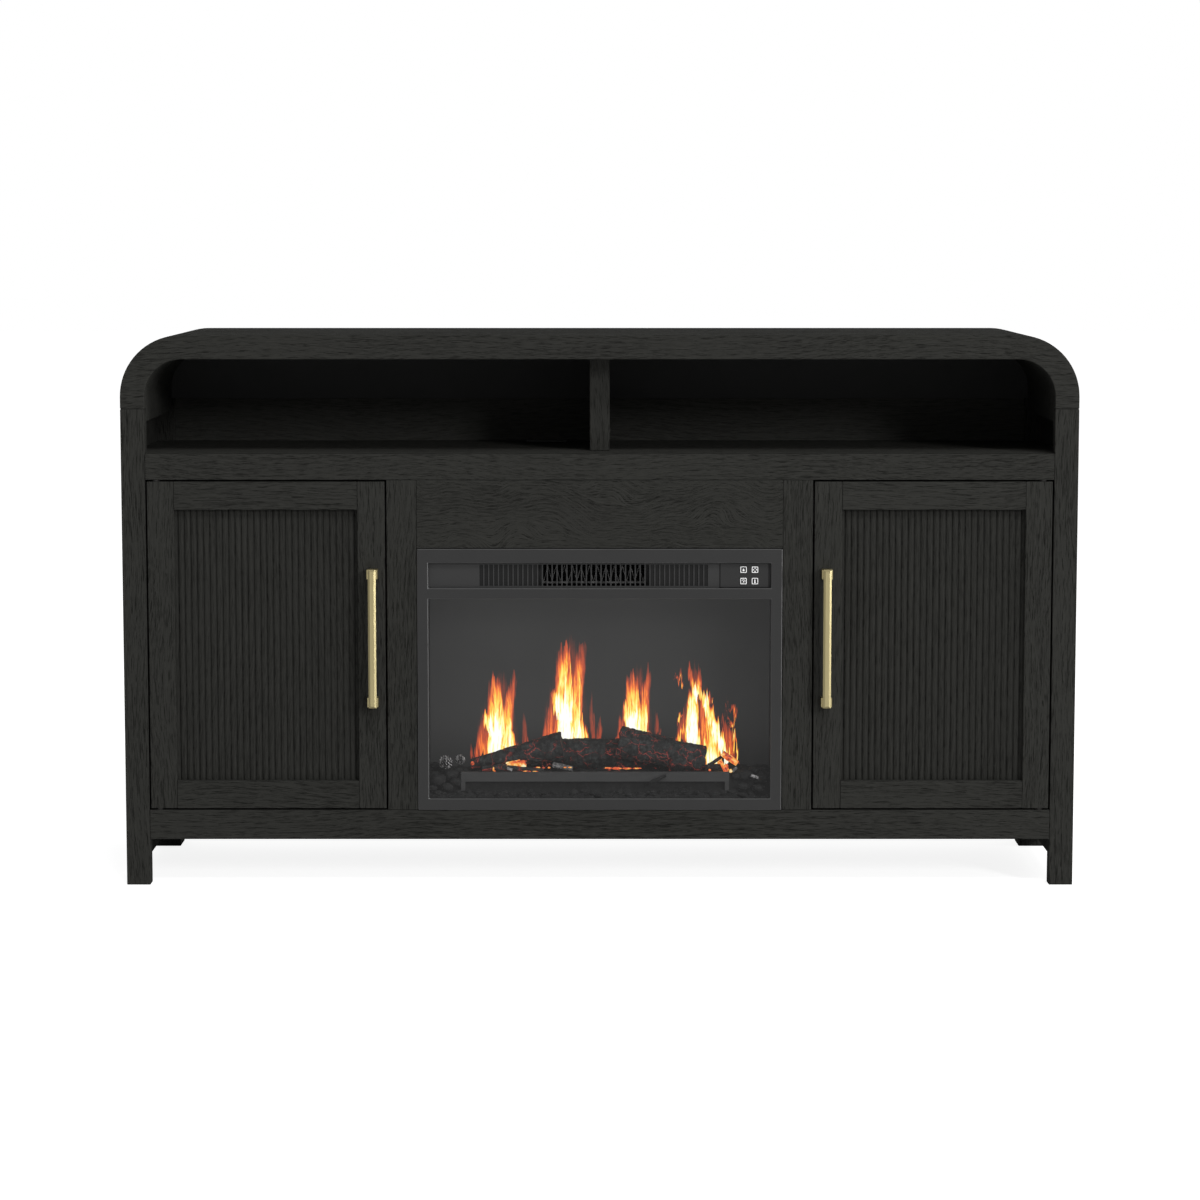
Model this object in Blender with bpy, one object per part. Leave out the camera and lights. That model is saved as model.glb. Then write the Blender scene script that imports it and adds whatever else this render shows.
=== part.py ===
"""A fireplace cabinet: a black oak media cabinet with a bent top, two reeded doors and an electric fire.

Metres, +Z up, the front faces -Y. The origin is under the middle of the whole object, on the floor.
"""

import math

import bmesh
import bpy
from mathutils import Matrix, Vector

MM = 0.001
SIDES = (("left", -1), ("right", 1))

# Overall sizes
BODY_WIDTH = 1524 * MM
BODY_HEIGHT = 884 * MM
BODY_DEPTH = 400 * MM
FIT_GAP = 0.3 * MM
EDGE_EASE = 0.8 * MM
CUT_OVERRUN = 6 * MM

# Bent top shell
SHELL_THICKNESS = 38.3 * MM
CORNER_RADIUS = 98 * MM
CORNER_STRAIGHT = 19 * MM
LIP_DROP = 20.5 * MM
CORNER_SEGMENTS = 18

# Posts, sides and back
POST_WIDTH = 38 * MM
FRONT_POST_DEPTH = 27 * MM
REAR_POST_WIDTH = 44.3 * MM
REAR_POST_DEPTH = 53 * MM
SIDE_THICKNESS = 15 * MM
SIDE_FLOOR_GAP = 17 * MM
BACK_THICKNESS = 12 * MM
BACK_SETBACK = 3 * MM

# Front frame
FRAME_THICKNESS = 20 * MM
FOOT_HEIGHT = 74.5 * MM
APRON_HEIGHT = 47.5 * MM
CENTRE_STILE_WIDTH = 47.5 * MM
CENTRE_OPENING_WIDTH = 585 * MM
TOP_RAIL_HEIGHT = 41.7 * MM
CENTRE_PANEL_HEIGHT = 109.1 * MM

# Open compartments under the top
CUBBY_HEIGHT = 150 * MM
BOARD_THICKNESS = 18 * MM
PARTITION_THICKNESS = 15 * MM
PARTITION_INSET = 5.5 * MM
DIVIDER_THICKNESS = 32 * MM
DIVIDER_SETBACK = 75 * MM
DIVIDER_CAP_RADIUS = 4 * MM
DIVIDER_CAP_HEIGHT = 1 * MM
DIVIDER_CAP_INSET = 8 * MM
DIVIDER_CAP_RISE = 31 * MM

# Cable cover in the shelf
COVER_WIDTH = 68 * MM
COVER_DEPTH = 30 * MM
COVER_FLANGE = 1.5 * MM
COVER_RIM = 4 * MM
COVER_PLUG_DEPTH = 10 * MM
COVER_CENTRE_OFFSET = -89 * MM
COVER_REAR_MARGIN = 8 * MM

# Loose shelf behind each door
LOOSE_SHELF_HEIGHT = 250 * MM
LOOSE_SHELF_SETBACK = 50 * MM
LOOSE_SHELF_SIDE_PLAY = 1 * MM
LOOSE_SHELF_REAR_PLAY = 2 * MM
PEG_RADIUS = 2.5 * MM
PEG_LENGTH = 8 * MM
PEG_SEAT_DEPTH = 7 * MM
PEG_END_MARGIN = 35 * MM

# Doors
DOOR_GAP = 2.7 * MM
DOOR_THICKNESS = 20 * MM
HINGE_STILE_WIDTH = 42 * MM
LATCH_STILE_WIDTH = 43.8 * MM
DOOR_RAIL_HEIGHT = 45 * MM
PANEL_RECESS = 10 * MM
PANEL_THICKNESS = 9 * MM
PANEL_TONGUE = 7 * MM
REED_PITCH = 10.1 * MM
REED_RISE = 2.6 * MM
REED_SEGMENTS = 6

# Door pivots and catches
PIVOT_INSET = 14 * MM
PIVOT_SETBACK = 8 * MM
PIVOT_RADIUS = 3 * MM
PIVOT_COLLAR_RADIUS = 6 * MM
PIVOT_DEPTH = 12 * MM
STRIKE_WIDTH = 12 * MM
STRIKE_HEIGHT = 34 * MM
STRIKE_THICKNESS = 1.5 * MM
STRIKE_EDGE_MARGIN = 2 * MM
CATCH_WIDTH = 20 * MM
CATCH_HEIGHT = 40 * MM
CATCH_DEPTH = 28 * MM
CATCH_TOP_MARGIN = 30 * MM

# Pulls
PULL_LENGTH = 222.2 * MM
PULL_INSET = 19.5 * MM
PULL_TOP_DROP = 138 * MM
PULL_PROJECTION = 32 * MM
PULL_BAR_WIDTH = 12.6 * MM
PULL_BAR_DEPTH = 11 * MM
PULL_BAR_CHAMFER = 3.1 * MM
PULL_POST_WIDTH = 16.9 * MM
PULL_POST_HEIGHT = 16 * MM
PULL_POST_LAP = 2 * MM

# Electric fire: front
BEZEL_SIDE_GAP = 0.75 * MM
BEZEL_THICKNESS = 8 * MM
BEZEL_PROUD = 2 * MM
BEZEL_CHAMFER = 1.2 * MM
BEZEL_SIDE_BORDER = 17.7 * MM
BEZEL_BOTTOM_BORDER = 18.6 * MM
BEZEL_TOP_BORDER = 22.7 * MM
BEZEL_MIDDLE_BAR = 17.4 * MM
VENT_WINDOW_HEIGHT = 40.3 * MM
OPENING_CLEARANCE = 0.8 * MM
GLASS_THICKNESS = 4 * MM
GLASS_EDGE_PLAY = 0.5 * MM

# Electric fire: vent and control plate
GRILLE_THICKNESS = 2 * MM
SLOT_PITCH = 7.8 * MM
SLOT_FIELD_START = 82 * MM
SLOT_FIELD_END = 19 * MM
SLOT_END_MARGIN = 3 * MM
SLOT_BAR_WIDTH = 2.1 * MM
VENT_OPEN_START = 175 * MM
VENT_OPEN_END = 112 * MM
BAFFLE_THICKNESS = 1.2 * MM
BAFFLE_LAP = 0.5 * MM
CONTROL_WIDTH = 77.5 * MM
CONTROL_END_MARGIN = 4.5 * MM
CONTROL_RISE = 1.2 * MM
CONTROL_EDGE_GAP = 0.9 * MM
KEY_SIZE = 11.5 * MM
KEY_SPACING = 18.3 * MM
KEY_OFFSET = 8.2 * MM
KEY_PROUD = 1 * MM
KEY_FLANGE = 1.2 * MM
KEY_FLANGE_DEPTH = 1.5 * MM

# Electric fire: casing and works
CASE_SIDE_MARGIN = 12.25 * MM
CASE_DEPTH = 190 * MM
CASE_TOP_DROP = 8 * MM
CASE_WALL = 1.5 * MM
GLAND_RADIUS = 8 * MM
GLAND_LENGTH = 9 * MM
GLAND_BORE_RADIUS = 4 * MM
GLAND_HEIGHT = 60 * MM
SCREEN_THICKNESS = 2 * MM
SCREEN_SETBACK = 112 * MM
EMBER_FRONT_HEIGHT = 20 * MM
EMBER_STEP_HEIGHT = 25 * MM
EMBER_TOP_HEIGHT = 54 * MM
EMBER_STEP_SETBACK = 24 * MM
EMBER_STEP_DEPTH = 3 * MM
GRATE_LEFT_MARGIN = 54 * MM
GRATE_RIGHT_MARGIN = 69 * MM
GRATE_BAR_HEIGHT = 15.5 * MM
GRATE_BAR_DEPTH = 6 * MM
GRATE_LEG_WIDTH = 7 * MM
GRATE_RISE = 40 * MM
GRATE_SETBACK = 15 * MM
SHAFT_RADIUS = 2.5 * MM
SHAFT_PLAY = 0.35 * MM
ROTOR_SETBACK = 149 * MM
ROTOR_HEIGHT = 78 * MM
ROTOR_PADDLE_WIDTH = 24 * MM
ROTOR_PADDLE_LENGTH = 40 * MM
ROTOR_PADDLE_THICKNESS = 1.5 * MM
ROTOR_PADDLE_COUNT = 9
ROTOR_MOTOR_RADIUS = 15 * MM
ROTOR_MOTOR_LENGTH = 62 * MM
BLOWER_SETBACK = 79 * MM
BLOWER_HEIGHT = 28 * MM
BLOWER_RADIUS = 18 * MM
BLOWER_HUB_RADIUS = 8 * MM
BLOWER_BLADES = 14
BLOWER_BLADE_THICKNESS = 2 * MM
BLOWER_LENGTH = 260 * MM
BLOWER_MOTOR_RADIUS = 19 * MM
BLOWER_MOTOR_LENGTH = 42 * MM
BLOWER_PLATE_THICKNESS = 3 * MM
BLOWER_PLATE_WIDTH = 44 * MM
BLOWER_END_PLAY = 6 * MM
BLOWER_CENTRE_OFFSET = -20 * MM
HEATER_WIDTH = 182 * MM
HEATER_CENTRE_OFFSET = -10 * MM
HEATER_SETBACK = 26 * MM
HEATER_DEPTH = 10 * MM
HEATER_LOW = 14 * MM
HEATER_HIGH = 42 * MM
HEATER_WIRE = 1.6 * MM
HEATER_POST_WIDTH = 9 * MM
HEATER_TURNS = 13

# Logs, each with its two ends. An end is a share of the case width to the right of its middle, a share of the
# ember bed's depth, then its radius and its rise off the bed as shares of the log radius.
LOG_RADIUS = 28 * MM
LOG_SIDES = 10
LOG_SHARES = (
    ((-0.375, 0.48, 0.34, 0.0), (-0.10, 0.52, 0.98, 0.05)),
    ((-0.15, 0.74, 0.80, 0.0), (0.13, 0.68, 0.84, 0.0)),
    ((0.052, 0.50, 0.72, 1.02), (0.308, 0.50, 0.62, 0.0)),
)

# Rows of places that follow from the sizes above
FRONT = -(BODY_DEPTH - PULL_PROJECTION) / 2
REAR = FRONT + BODY_DEPTH
FRAME_BACK = FRONT + FRAME_THICKNESS
REAR_POST_FRONT = REAR - REAR_POST_DEPTH
BACK_FACE = REAR_POST_FRONT + BACK_SETBACK
SIDE_INNER = BODY_WIDTH / 2 - SIDE_THICKNESS
POST_INNER = BODY_WIDTH / 2 - POST_WIDTH
REAR_POST_INNER = BODY_WIDTH / 2 - REAR_POST_WIDTH
SEAM_HEIGHT = BODY_HEIGHT - CORNER_RADIUS - CORNER_STRAIGHT
CUBBY_TOP = BODY_HEIGHT - SHELL_THICKNESS
SHELF_TOP = CUBBY_TOP - CUBBY_HEIGHT
RAIL_BOTTOM = SHELF_TOP - TOP_RAIL_HEIGHT
APRON_TOP = FOOT_HEIGHT + APRON_HEIGHT
CENTRE_INNER = CENTRE_OPENING_WIDTH / 2
CENTRE_OUTER = CENTRE_INNER + CENTRE_STILE_WIDTH
PARTITION_OUTER = CENTRE_OUTER - PARTITION_INSET
DOOR_NEAR = CENTRE_OUTER + DOOR_GAP
DOOR_FAR = POST_INNER - DOOR_GAP
DOOR_BOTTOM = APRON_TOP + DOOR_GAP
DOOR_TOP = RAIL_BOTTOM - DOOR_GAP
DOOR_BACK = FRONT + DOOR_THICKNESS
PIVOT_X = DOOR_FAR - PIVOT_INSET
PIVOT_Y = FRONT + PIVOT_SETBACK
BEZEL_WIDTH = CENTRE_OPENING_WIDTH - 2 * BEZEL_SIDE_GAP
BEZEL_BOTTOM = APRON_TOP + FIT_GAP
BEZEL_TOP = RAIL_BOTTOM - FIT_GAP - CENTRE_PANEL_HEIGHT - OPENING_CLEARANCE
BEZEL_BACK = FRONT - BEZEL_PROUD + BEZEL_THICKNESS
INSERT_FRONT = BEZEL_BACK + FIT_GAP
WINDOW_HALF = BEZEL_WIDTH / 2 - BEZEL_SIDE_BORDER
GLASS_WINDOW_BOTTOM = BEZEL_BOTTOM + BEZEL_BOTTOM_BORDER
VENT_WINDOW_TOP = BEZEL_TOP - BEZEL_TOP_BORDER
VENT_WINDOW_BOTTOM = VENT_WINDOW_TOP - VENT_WINDOW_HEIGHT
VENT_MIDDLE = VENT_WINDOW_TOP - VENT_WINDOW_HEIGHT / 2
GLASS_WINDOW_TOP = VENT_WINDOW_BOTTOM - BEZEL_MIDDLE_BAR
CASE_WIDTH = BEZEL_WIDTH - 2 * CASE_SIDE_MARGIN
CASE_BOTTOM = APRON_TOP + FIT_GAP
CASE_TOP = BEZEL_TOP - CASE_TOP_DROP
CASE_REAR = INSERT_FRONT + CASE_DEPTH
FIRE_HALF = CASE_WIDTH / 2 - CASE_WALL
FIRE_FLOOR = CASE_BOTTOM + CASE_WALL
DUCT_BOTTOM = (GLASS_WINDOW_TOP + VENT_WINDOW_BOTTOM - CASE_WALL) / 2
DUCT_FLOOR = DUCT_BOTTOM + CASE_WALL
DUCT_TOP = CASE_TOP - CASE_WALL
CONTROL_FAR = WINDOW_HALF - CONTROL_END_MARGIN
CONTROL_NEAR = CONTROL_FAR - CONTROL_WIDTH
SCREEN_FRONT = INSERT_FRONT + SCREEN_SETBACK
EMBER_FRONT = INSERT_FRONT + GLASS_THICKNESS + FIT_GAP
EMBER_REAR = SCREEN_FRONT - FIT_GAP
EMBER_TOP = FIRE_FLOOR + FIT_GAP + EMBER_TOP_HEIGHT
ROTOR_Y = INSERT_FRONT + ROTOR_SETBACK
ROTOR_Z = FIRE_FLOOR + ROTOR_HEIGHT
BLOWER_Y = INSERT_FRONT + BLOWER_SETBACK
BLOWER_Z = DUCT_FLOOR + BLOWER_HEIGHT


def finish(name, colour, roughness, metallic=0.0, alpha=1.0):
    """A Principled material."""
    material = bpy.data.materials.new(name)
    material.use_nodes = True
    shader = material.node_tree.nodes["Principled BSDF"]
    shader.inputs["Base Color"].default_value = (*colour, 1.0)
    shader.inputs["Roughness"].default_value = roughness
    shader.inputs["Metallic"].default_value = metallic
    shader.inputs["Alpha"].default_value = alpha
    material.diffuse_color = (*colour, alpha)
    return material


def make_materials():
    """Every finish of the cabinet, by name."""
    return {
        "oak": finish("black_oak", (0.028, 0.028, 0.025), 0.55),
        "brass": finish("brushed_brass", (0.42, 0.35, 0.19), 0.35, 1.0),
        "bezel": finish("grey_painted_metal", (0.045, 0.045, 0.045), 0.5),
        "case": finish("black_painted_metal", (0.02, 0.02, 0.02), 0.6),
        "glass": finish("fire_glass", (0.05, 0.05, 0.05), 0.05, 0.0, 0.35),
        "control": finish("control_plastic", (0.04, 0.04, 0.04), 0.4),
        "key": finish("key_plastic", (0.05, 0.05, 0.05), 0.4),
        "steel": finish("zinc_steel", (0.55, 0.55, 0.55), 0.35, 1.0),
        "catch": finish("black_plastic", (0.02, 0.02, 0.02), 0.5),
        "log": finish("log_resin", (0.03, 0.025, 0.022), 0.8),
        "ember": finish("ember_resin", (0.03, 0.03, 0.03), 0.8),
        "wire": finish("heater_wire", (0.3, 0.28, 0.26), 0.4, 1.0),
        "screen": finish("flame_screen", (0.06, 0.06, 0.06), 0.3),
    }


def span(side, near, far):
    """The low and high x of a piece that lies from near to far of the middle, on one side."""
    return (near, far) if side > 0 else (-far, -near)


def add_object(name, bm, origin, material, parent=None):
    """Links a mesh built in world coordinates as an object with its origin at a given point."""
    origin = Vector(origin)
    bmesh.ops.translate(bm, verts=bm.verts, vec=-origin)
    bmesh.ops.recalc_face_normals(bm, faces=bm.faces)
    mesh = bpy.data.meshes.new(name)
    bm.to_mesh(mesh)
    bm.free()
    mesh.materials.append(material)
    obj = bpy.data.objects.new(name, mesh)
    bpy.context.scene.collection.objects.link(obj)
    obj.location = origin - parent.location if parent else origin
    obj.parent = parent
    return obj


def add_empty(name, location):
    """An empty on a joint's axis, for the pieces that move together."""
    empty = bpy.data.objects.new(name, None)
    empty.location = location
    bpy.context.scene.collection.objects.link(empty)
    return empty


def ease(obj, width=EDGE_EASE):
    """A small chamfer on every sharp edge."""
    bevel = obj.modifiers.new("ease", "BEVEL")
    bevel.width = width
    bevel.segments = 1
    bevel.limit_method = "ANGLE"
    bevel.angle_limit = math.radians(30)
    return obj


def box_mesh(x, y, z):
    bm = bmesh.new()
    bmesh.ops.create_cube(bm, size=1)
    for vertex in bm.verts:
        vertex.co = (x[vertex.co.x > 0], y[vertex.co.y > 0], z[vertex.co.z > 0])
    return bm


def middle(x, y, z):
    return Vector((sum(x) / 2, sum(y) / 2, sum(z) / 2))


def block(name, x, y, z, material, parent=None):
    """A plain box between pairs of world coordinates."""
    return add_object(name, box_mesh(x, y, z), middle(x, y, z), material, parent)


def board(name, x, y, z, material, parent=None):
    """A box with eased edges, between pairs of world coordinates."""
    return ease(block(name, x, y, z, material, parent))


def outline_solid(name, points, axis, low, high, material, parent=None):
    """A closed outline pushed along an axis: (y, z) points along X, (x, z) along Y, (x, y) along Z."""
    order = {"X": (2, 0, 1), "Y": (0, 2, 1), "Z": (0, 1, 2)}[axis]
    bm = bmesh.new()
    floor = []
    for point in points:
        values = (point[0], point[1], low)
        floor.append(bm.verts.new([values[i] for i in order]))
    face = bm.faces.new(floor)
    lid = bmesh.ops.extrude_face_region(bm, geom=[face])
    moved = [item for item in lid["geom"] if isinstance(item, bmesh.types.BMVert)]
    step = [(0, 0, high - low)[i] for i in order]
    bmesh.ops.translate(bm, verts=moved, vec=step)
    low_corner = Vector([min(v.co[i] for v in bm.verts) for i in range(3)])
    high_corner = Vector([max(v.co[i] for v in bm.verts) for i in range(3)])
    return add_object(name, bm, (low_corner + high_corner) / 2, material, parent)


def turned(name, profile, start, direction, material, parent=None, segments=16):
    """A turned solid: (radius, distance) points along a direction from a start point."""
    bm = bmesh.new()
    turn = Vector((0, 0, 1)).rotation_difference(Vector(direction)).to_matrix()
    rings = []
    for radius, distance in profile:
        ring = []
        for i in range(segments):
            angle = 2 * math.pi * (i + 0.5) / segments
            local = Vector((radius * math.cos(angle), radius * math.sin(angle), distance))
            ring.append(bm.verts.new(Vector(start) + turn @ local))
        rings.append(ring)
    for lower, upper in zip(rings, rings[1:]):
        for i in range(segments):
            j = (i + 1) % segments
            bm.faces.new((lower[i], lower[j], upper[j], upper[i]))
    bm.faces.new(rings[0])
    bm.faces.new(rings[-1])
    obj = add_object(name, bm, start, material, parent)
    obj.data.shade_smooth()
    obj.data.set_sharp_from_angle(angle=math.radians(35))
    return obj


def rod(name, radius, start, end, material, parent=None, segments=16):
    """A round bar between two points."""
    along = Vector(end) - Vector(start)
    profile = ((radius, 0), (radius, along.length))
    return turned(name, profile, start, along.normalized(), material, parent, segments)


def stepped_block(name, centre, direction, sections, material, parent=None):
    """A block of stacked rectangles: (half width, half height, distance) along Y or Z from a centre."""
    bm = bmesh.new()
    rings = []
    for half_width, half_height, distance in sections:
        ring = []
        for u, v in ((-1, -1), (1, -1), (1, 1), (-1, 1)):
            across = u * half_width
            up = v * half_height
            offset = (across, distance, up) if direction == "Y" else (across, up, distance)
            ring.append(bm.verts.new(Vector(centre) + Vector(offset)))
        rings.append(ring)
    for lower, upper in zip(rings, rings[1:]):
        for i in range(4):
            j = (i + 1) % 4
            bm.faces.new((lower[i], lower[j], upper[j], upper[i]))
    bm.faces.new(rings[0])
    bm.faces.new(rings[-1])
    return add_object(name, bm, centre, material, parent)


def pierced_plate(name, x, y, z, windows, material):
    """A plate with rectangular windows, each ((x low, x high), (z low, z high))."""
    columns = sorted({*x, *(edge for across, _ in windows for edge in across)})
    rows = sorted({*z, *(edge for _, up in windows for edge in up)})

    def is_solid(i, j):
        if not (0 <= i < len(columns) - 1 and 0 <= j < len(rows) - 1):
            return False
        at_x = (columns[i] + columns[i + 1]) / 2
        at_z = (rows[j] + rows[j + 1]) / 2
        return not any(a[0] < at_x < a[1] and u[0] < at_z < u[1] for a, u in windows)

    bm = bmesh.new()
    corners = {}

    def corner(i, j, k):
        if (i, j, k) not in corners:
            corners[i, j, k] = bm.verts.new((columns[i], y[k], rows[j]))
        return corners[i, j, k]

    for i in range(len(columns) - 1):
        for j in range(len(rows) - 1):
            if not is_solid(i, j):
                continue
            loop = ((i, j), (i + 1, j), (i + 1, j + 1), (i, j + 1))
            bm.faces.new([corner(*at, 0) for at in loop])
            bm.faces.new([corner(*at, 1) for at in reversed(loop)])
            beside = ((i, j - 1), (i + 1, j), (i, j + 1), (i - 1, j))
            for n in range(4):
                if is_solid(*beside[n]):
                    continue
                a = loop[n]
                b = loop[(n + 1) % 4]
                bm.faces.new((corner(*b, 0), corner(*a, 0), corner(*a, 1), corner(*b, 1)))
    return add_object(name, bm, middle(x, y, z), material)


def combine(obj, helper, operation):
    """Cuts a helper out of an object, or joins it on, and hides the helper."""
    boolean = obj.modifiers.new(helper.name, "BOOLEAN")
    boolean.object = helper
    boolean.operation = operation
    helper.hide_render = True
    helper.display_type = "WIRE"
    return obj


def cut(obj, helper):
    return combine(obj, helper, "DIFFERENCE")


def join(obj, helper):
    return combine(obj, helper, "UNION")


def arc(centre_x, centre_z, radius, start, end):
    """Points on a quarter round, from one angle to another in degrees."""
    points = []
    for i in range(CORNER_SEGMENTS + 1):
        angle = math.radians(start + (end - start) * i / CORNER_SEGMENTS)
        points.append((centre_x + radius * math.cos(angle), centre_z + radius * math.sin(angle)))
    return points


def make_top_shell(oak):
    """The bent top: a flat top with a quarter round at each end, and a locating lip inside each side."""
    centre_x = BODY_WIDTH / 2 - CORNER_RADIUS
    centre_z = BODY_HEIGHT - CORNER_RADIUS
    inner_radius = CORNER_RADIUS - SHELL_THICKNESS
    inner_x = BODY_WIDTH / 2 - SHELL_THICKNESS
    outline = [(BODY_WIDTH / 2, SEAM_HEIGHT)]
    outline += arc(centre_x, centre_z, CORNER_RADIUS, 0, 90)
    outline += arc(-centre_x, centre_z, CORNER_RADIUS, 90, 180)
    outline += [(-BODY_WIDTH / 2, SEAM_HEIGHT), (-inner_x, SEAM_HEIGHT)]
    outline += arc(-centre_x, centre_z, inner_radius, 180, 90)
    outline += arc(centre_x, centre_z, inner_radius, 90, 0)
    outline += [(inner_x, SEAM_HEIGHT)]
    shell = ease(outline_solid("top_shell", outline, "Y", FRONT, REAR, oak))
    shell.data.shade_smooth()
    shell.data.set_sharp_from_angle(angle=math.radians(25))
    for side_name, side in SIDES:
        lip = block(
            f"{side_name}_lip_helper",
            span(side, inner_x, SIDE_INNER - FIT_GAP),
            (FRONT + FRONT_POST_DEPTH + FIT_GAP, REAR_POST_FRONT - FIT_GAP),
            (SEAM_HEIGHT - LIP_DROP, SEAM_HEIGHT + CORNER_STRAIGHT / 2),
            oak,
        )
        join(shell, lip)


def make_posts_and_sides(oak):
    """Front and rear posts, whose feet stand on the floor, and the side panels between them."""
    top = SEAM_HEIGHT - FIT_GAP
    edge = BODY_WIDTH / 2
    for side_name, side in SIDES:
        front_y = (FRONT, FRONT + FRONT_POST_DEPTH)
        board(f"{side_name}_front_post", span(side, POST_INNER, edge), front_y, (0, top), oak)
        rear_y = (REAR_POST_FRONT, REAR)
        board(f"{side_name}_rear_post", span(side, REAR_POST_INNER, edge), rear_y, (0, top), oak)
        panel = board(
            f"{side_name}_side_panel",
            span(side, SIDE_INNER, edge),
            (FRONT + FRONT_POST_DEPTH + FIT_GAP, REAR_POST_FRONT - FIT_GAP),
            (SIDE_FLOOR_GAP, top),
            oak,
        )
        add_pegs(panel, side, SIDE_INNER, -side, oak)


def peg_depths():
    """The y of the front and rear peg under a loose shelf."""
    front = FRONT + LOOSE_SHELF_SETBACK + PEG_END_MARGIN
    rear = REAR_POST_FRONT - LOOSE_SHELF_REAR_PLAY - PEG_END_MARGIN
    return front, rear


def add_pegs(panel, side, face, way, oak):
    """Two shelf pegs, pressed into a panel's face at the height of the loose shelf."""
    height = APRON_TOP + LOOSE_SHELF_HEIGHT - FIT_GAP - PEG_RADIUS
    for i, depth in enumerate(peg_depths()):
        start = (side * face - way * PEG_SEAT_DEPTH, depth, height)
        end = (side * face + way * PEG_LENGTH, depth, height)
        peg = rod(f"{panel.name}_peg_helper_{i}", PEG_RADIUS, start, end, oak, segments=8)
        join(panel, peg)


def carcass_board(name, z, oak):
    """A full-width board behind the front frame, notched round the posts."""
    front = FRAME_BACK + FIT_GAP
    behind_post = FRONT + FRONT_POST_DEPTH + FIT_GAP
    before_post = REAR_POST_FRONT - FIT_GAP
    back = BACK_FACE - FIT_GAP
    steps = (
        (POST_INNER - FIT_GAP, front),
        (POST_INNER - FIT_GAP, behind_post),
        (SIDE_INNER - FIT_GAP, behind_post),
        (SIDE_INNER - FIT_GAP, before_post),
        (REAR_POST_INNER - FIT_GAP, before_post),
        (REAR_POST_INNER - FIT_GAP, back),
    )
    outline = list(steps) + [(-x, y) for x, y in reversed(steps)]
    return outline_solid(name, outline, "Z", z[0], z[1], oak)


def make_shelf_and_cover(materials):
    """The shelf of the open compartments, with a cover on its cable hole at the rear."""
    oak = materials["oak"]
    shelf = carcass_board("media_shelf", (SHELF_TOP - BOARD_THICKNESS, SHELF_TOP), oak)
    centre_y = BACK_FACE - COVER_REAR_MARGIN - COVER_DEPTH / 2
    plug_x = COVER_WIDTH / 2 - COVER_RIM
    plug_y = COVER_DEPTH / 2 - COVER_RIM
    hole = block(
        "cable_hole_helper",
        (COVER_CENTRE_OFFSET - plug_x - FIT_GAP, COVER_CENTRE_OFFSET + plug_x + FIT_GAP),
        (centre_y - plug_y - FIT_GAP, centre_y + plug_y + FIT_GAP),
        (SHELF_TOP - BOARD_THICKNESS - CUT_OVERRUN, SHELF_TOP + CUT_OVERRUN),
        oak,
    )
    cut(shelf, hole)
    sections = (
        (plug_x, plug_y, -COVER_PLUG_DEPTH),
        (plug_x, plug_y, FIT_GAP),
        (COVER_WIDTH / 2, COVER_DEPTH / 2, FIT_GAP),
        (COVER_WIDTH / 2, COVER_DEPTH / 2, FIT_GAP + COVER_FLANGE),
    )
    centre = (COVER_CENTRE_OFFSET, centre_y, SHELF_TOP)
    stepped_block("cable_cover", centre, "Z", sections, materials["catch"])


def make_divider(oak):
    """The upright between the two open compartments, with a flat cap on its fixing at each side."""
    divider = board(
        "cubby_divider",
        (-DIVIDER_THICKNESS / 2, DIVIDER_THICKNESS / 2),
        (FRONT + DIVIDER_SETBACK, BACK_FACE - FIT_GAP),
        (SHELF_TOP + FIT_GAP, CUBBY_TOP - FIT_GAP),
        oak,
    )
    y = FRONT + DIVIDER_SETBACK + DIVIDER_CAP_INSET
    z = SHELF_TOP + DIVIDER_CAP_RISE
    reach = DIVIDER_THICKNESS / 2 + DIVIDER_CAP_HEIGHT
    caps = rod("divider_cap_helper", DIVIDER_CAP_RADIUS, (-reach, y, z), (reach, y, z), oak, segments=12)
    join(divider, caps)


def make_back(oak):
    """The upper back, round at its top corners, and the lower back with an outlet for air and the cord."""
    gap = FIT_GAP
    centre_x = BODY_WIDTH / 2 - CORNER_RADIUS
    centre_z = BODY_HEIGHT - CORNER_RADIUS
    radius = CORNER_RADIUS - SHELL_THICKNESS - gap
    half = BODY_WIDTH / 2 - SHELL_THICKNESS - gap
    outline = [(half, SEAM_HEIGHT)]
    outline += arc(centre_x, centre_z, radius, 0, 90)
    outline += arc(-centre_x, centre_z, radius, 90, 180)
    outline += [(-half, SEAM_HEIGHT)]
    y = (BACK_FACE, BACK_FACE + BACK_THICKNESS)
    outline_solid("upper_back", outline, "Y", y[0], y[1], oak)
    reach = REAR_POST_INNER - gap
    outlet_z = FIRE_FLOOR + GLAND_HEIGHT
    outlet_half = CENTRE_INNER / 3
    outlet = ((-outlet_half, outlet_half), (outlet_z - GLAND_HEIGHT / 2, outlet_z + GLAND_HEIGHT))
    z = (APRON_TOP - BOARD_THICKNESS, SEAM_HEIGHT - gap)
    pierced_plate("lower_back", (-reach, reach), y, z, [outlet], oak)


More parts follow.
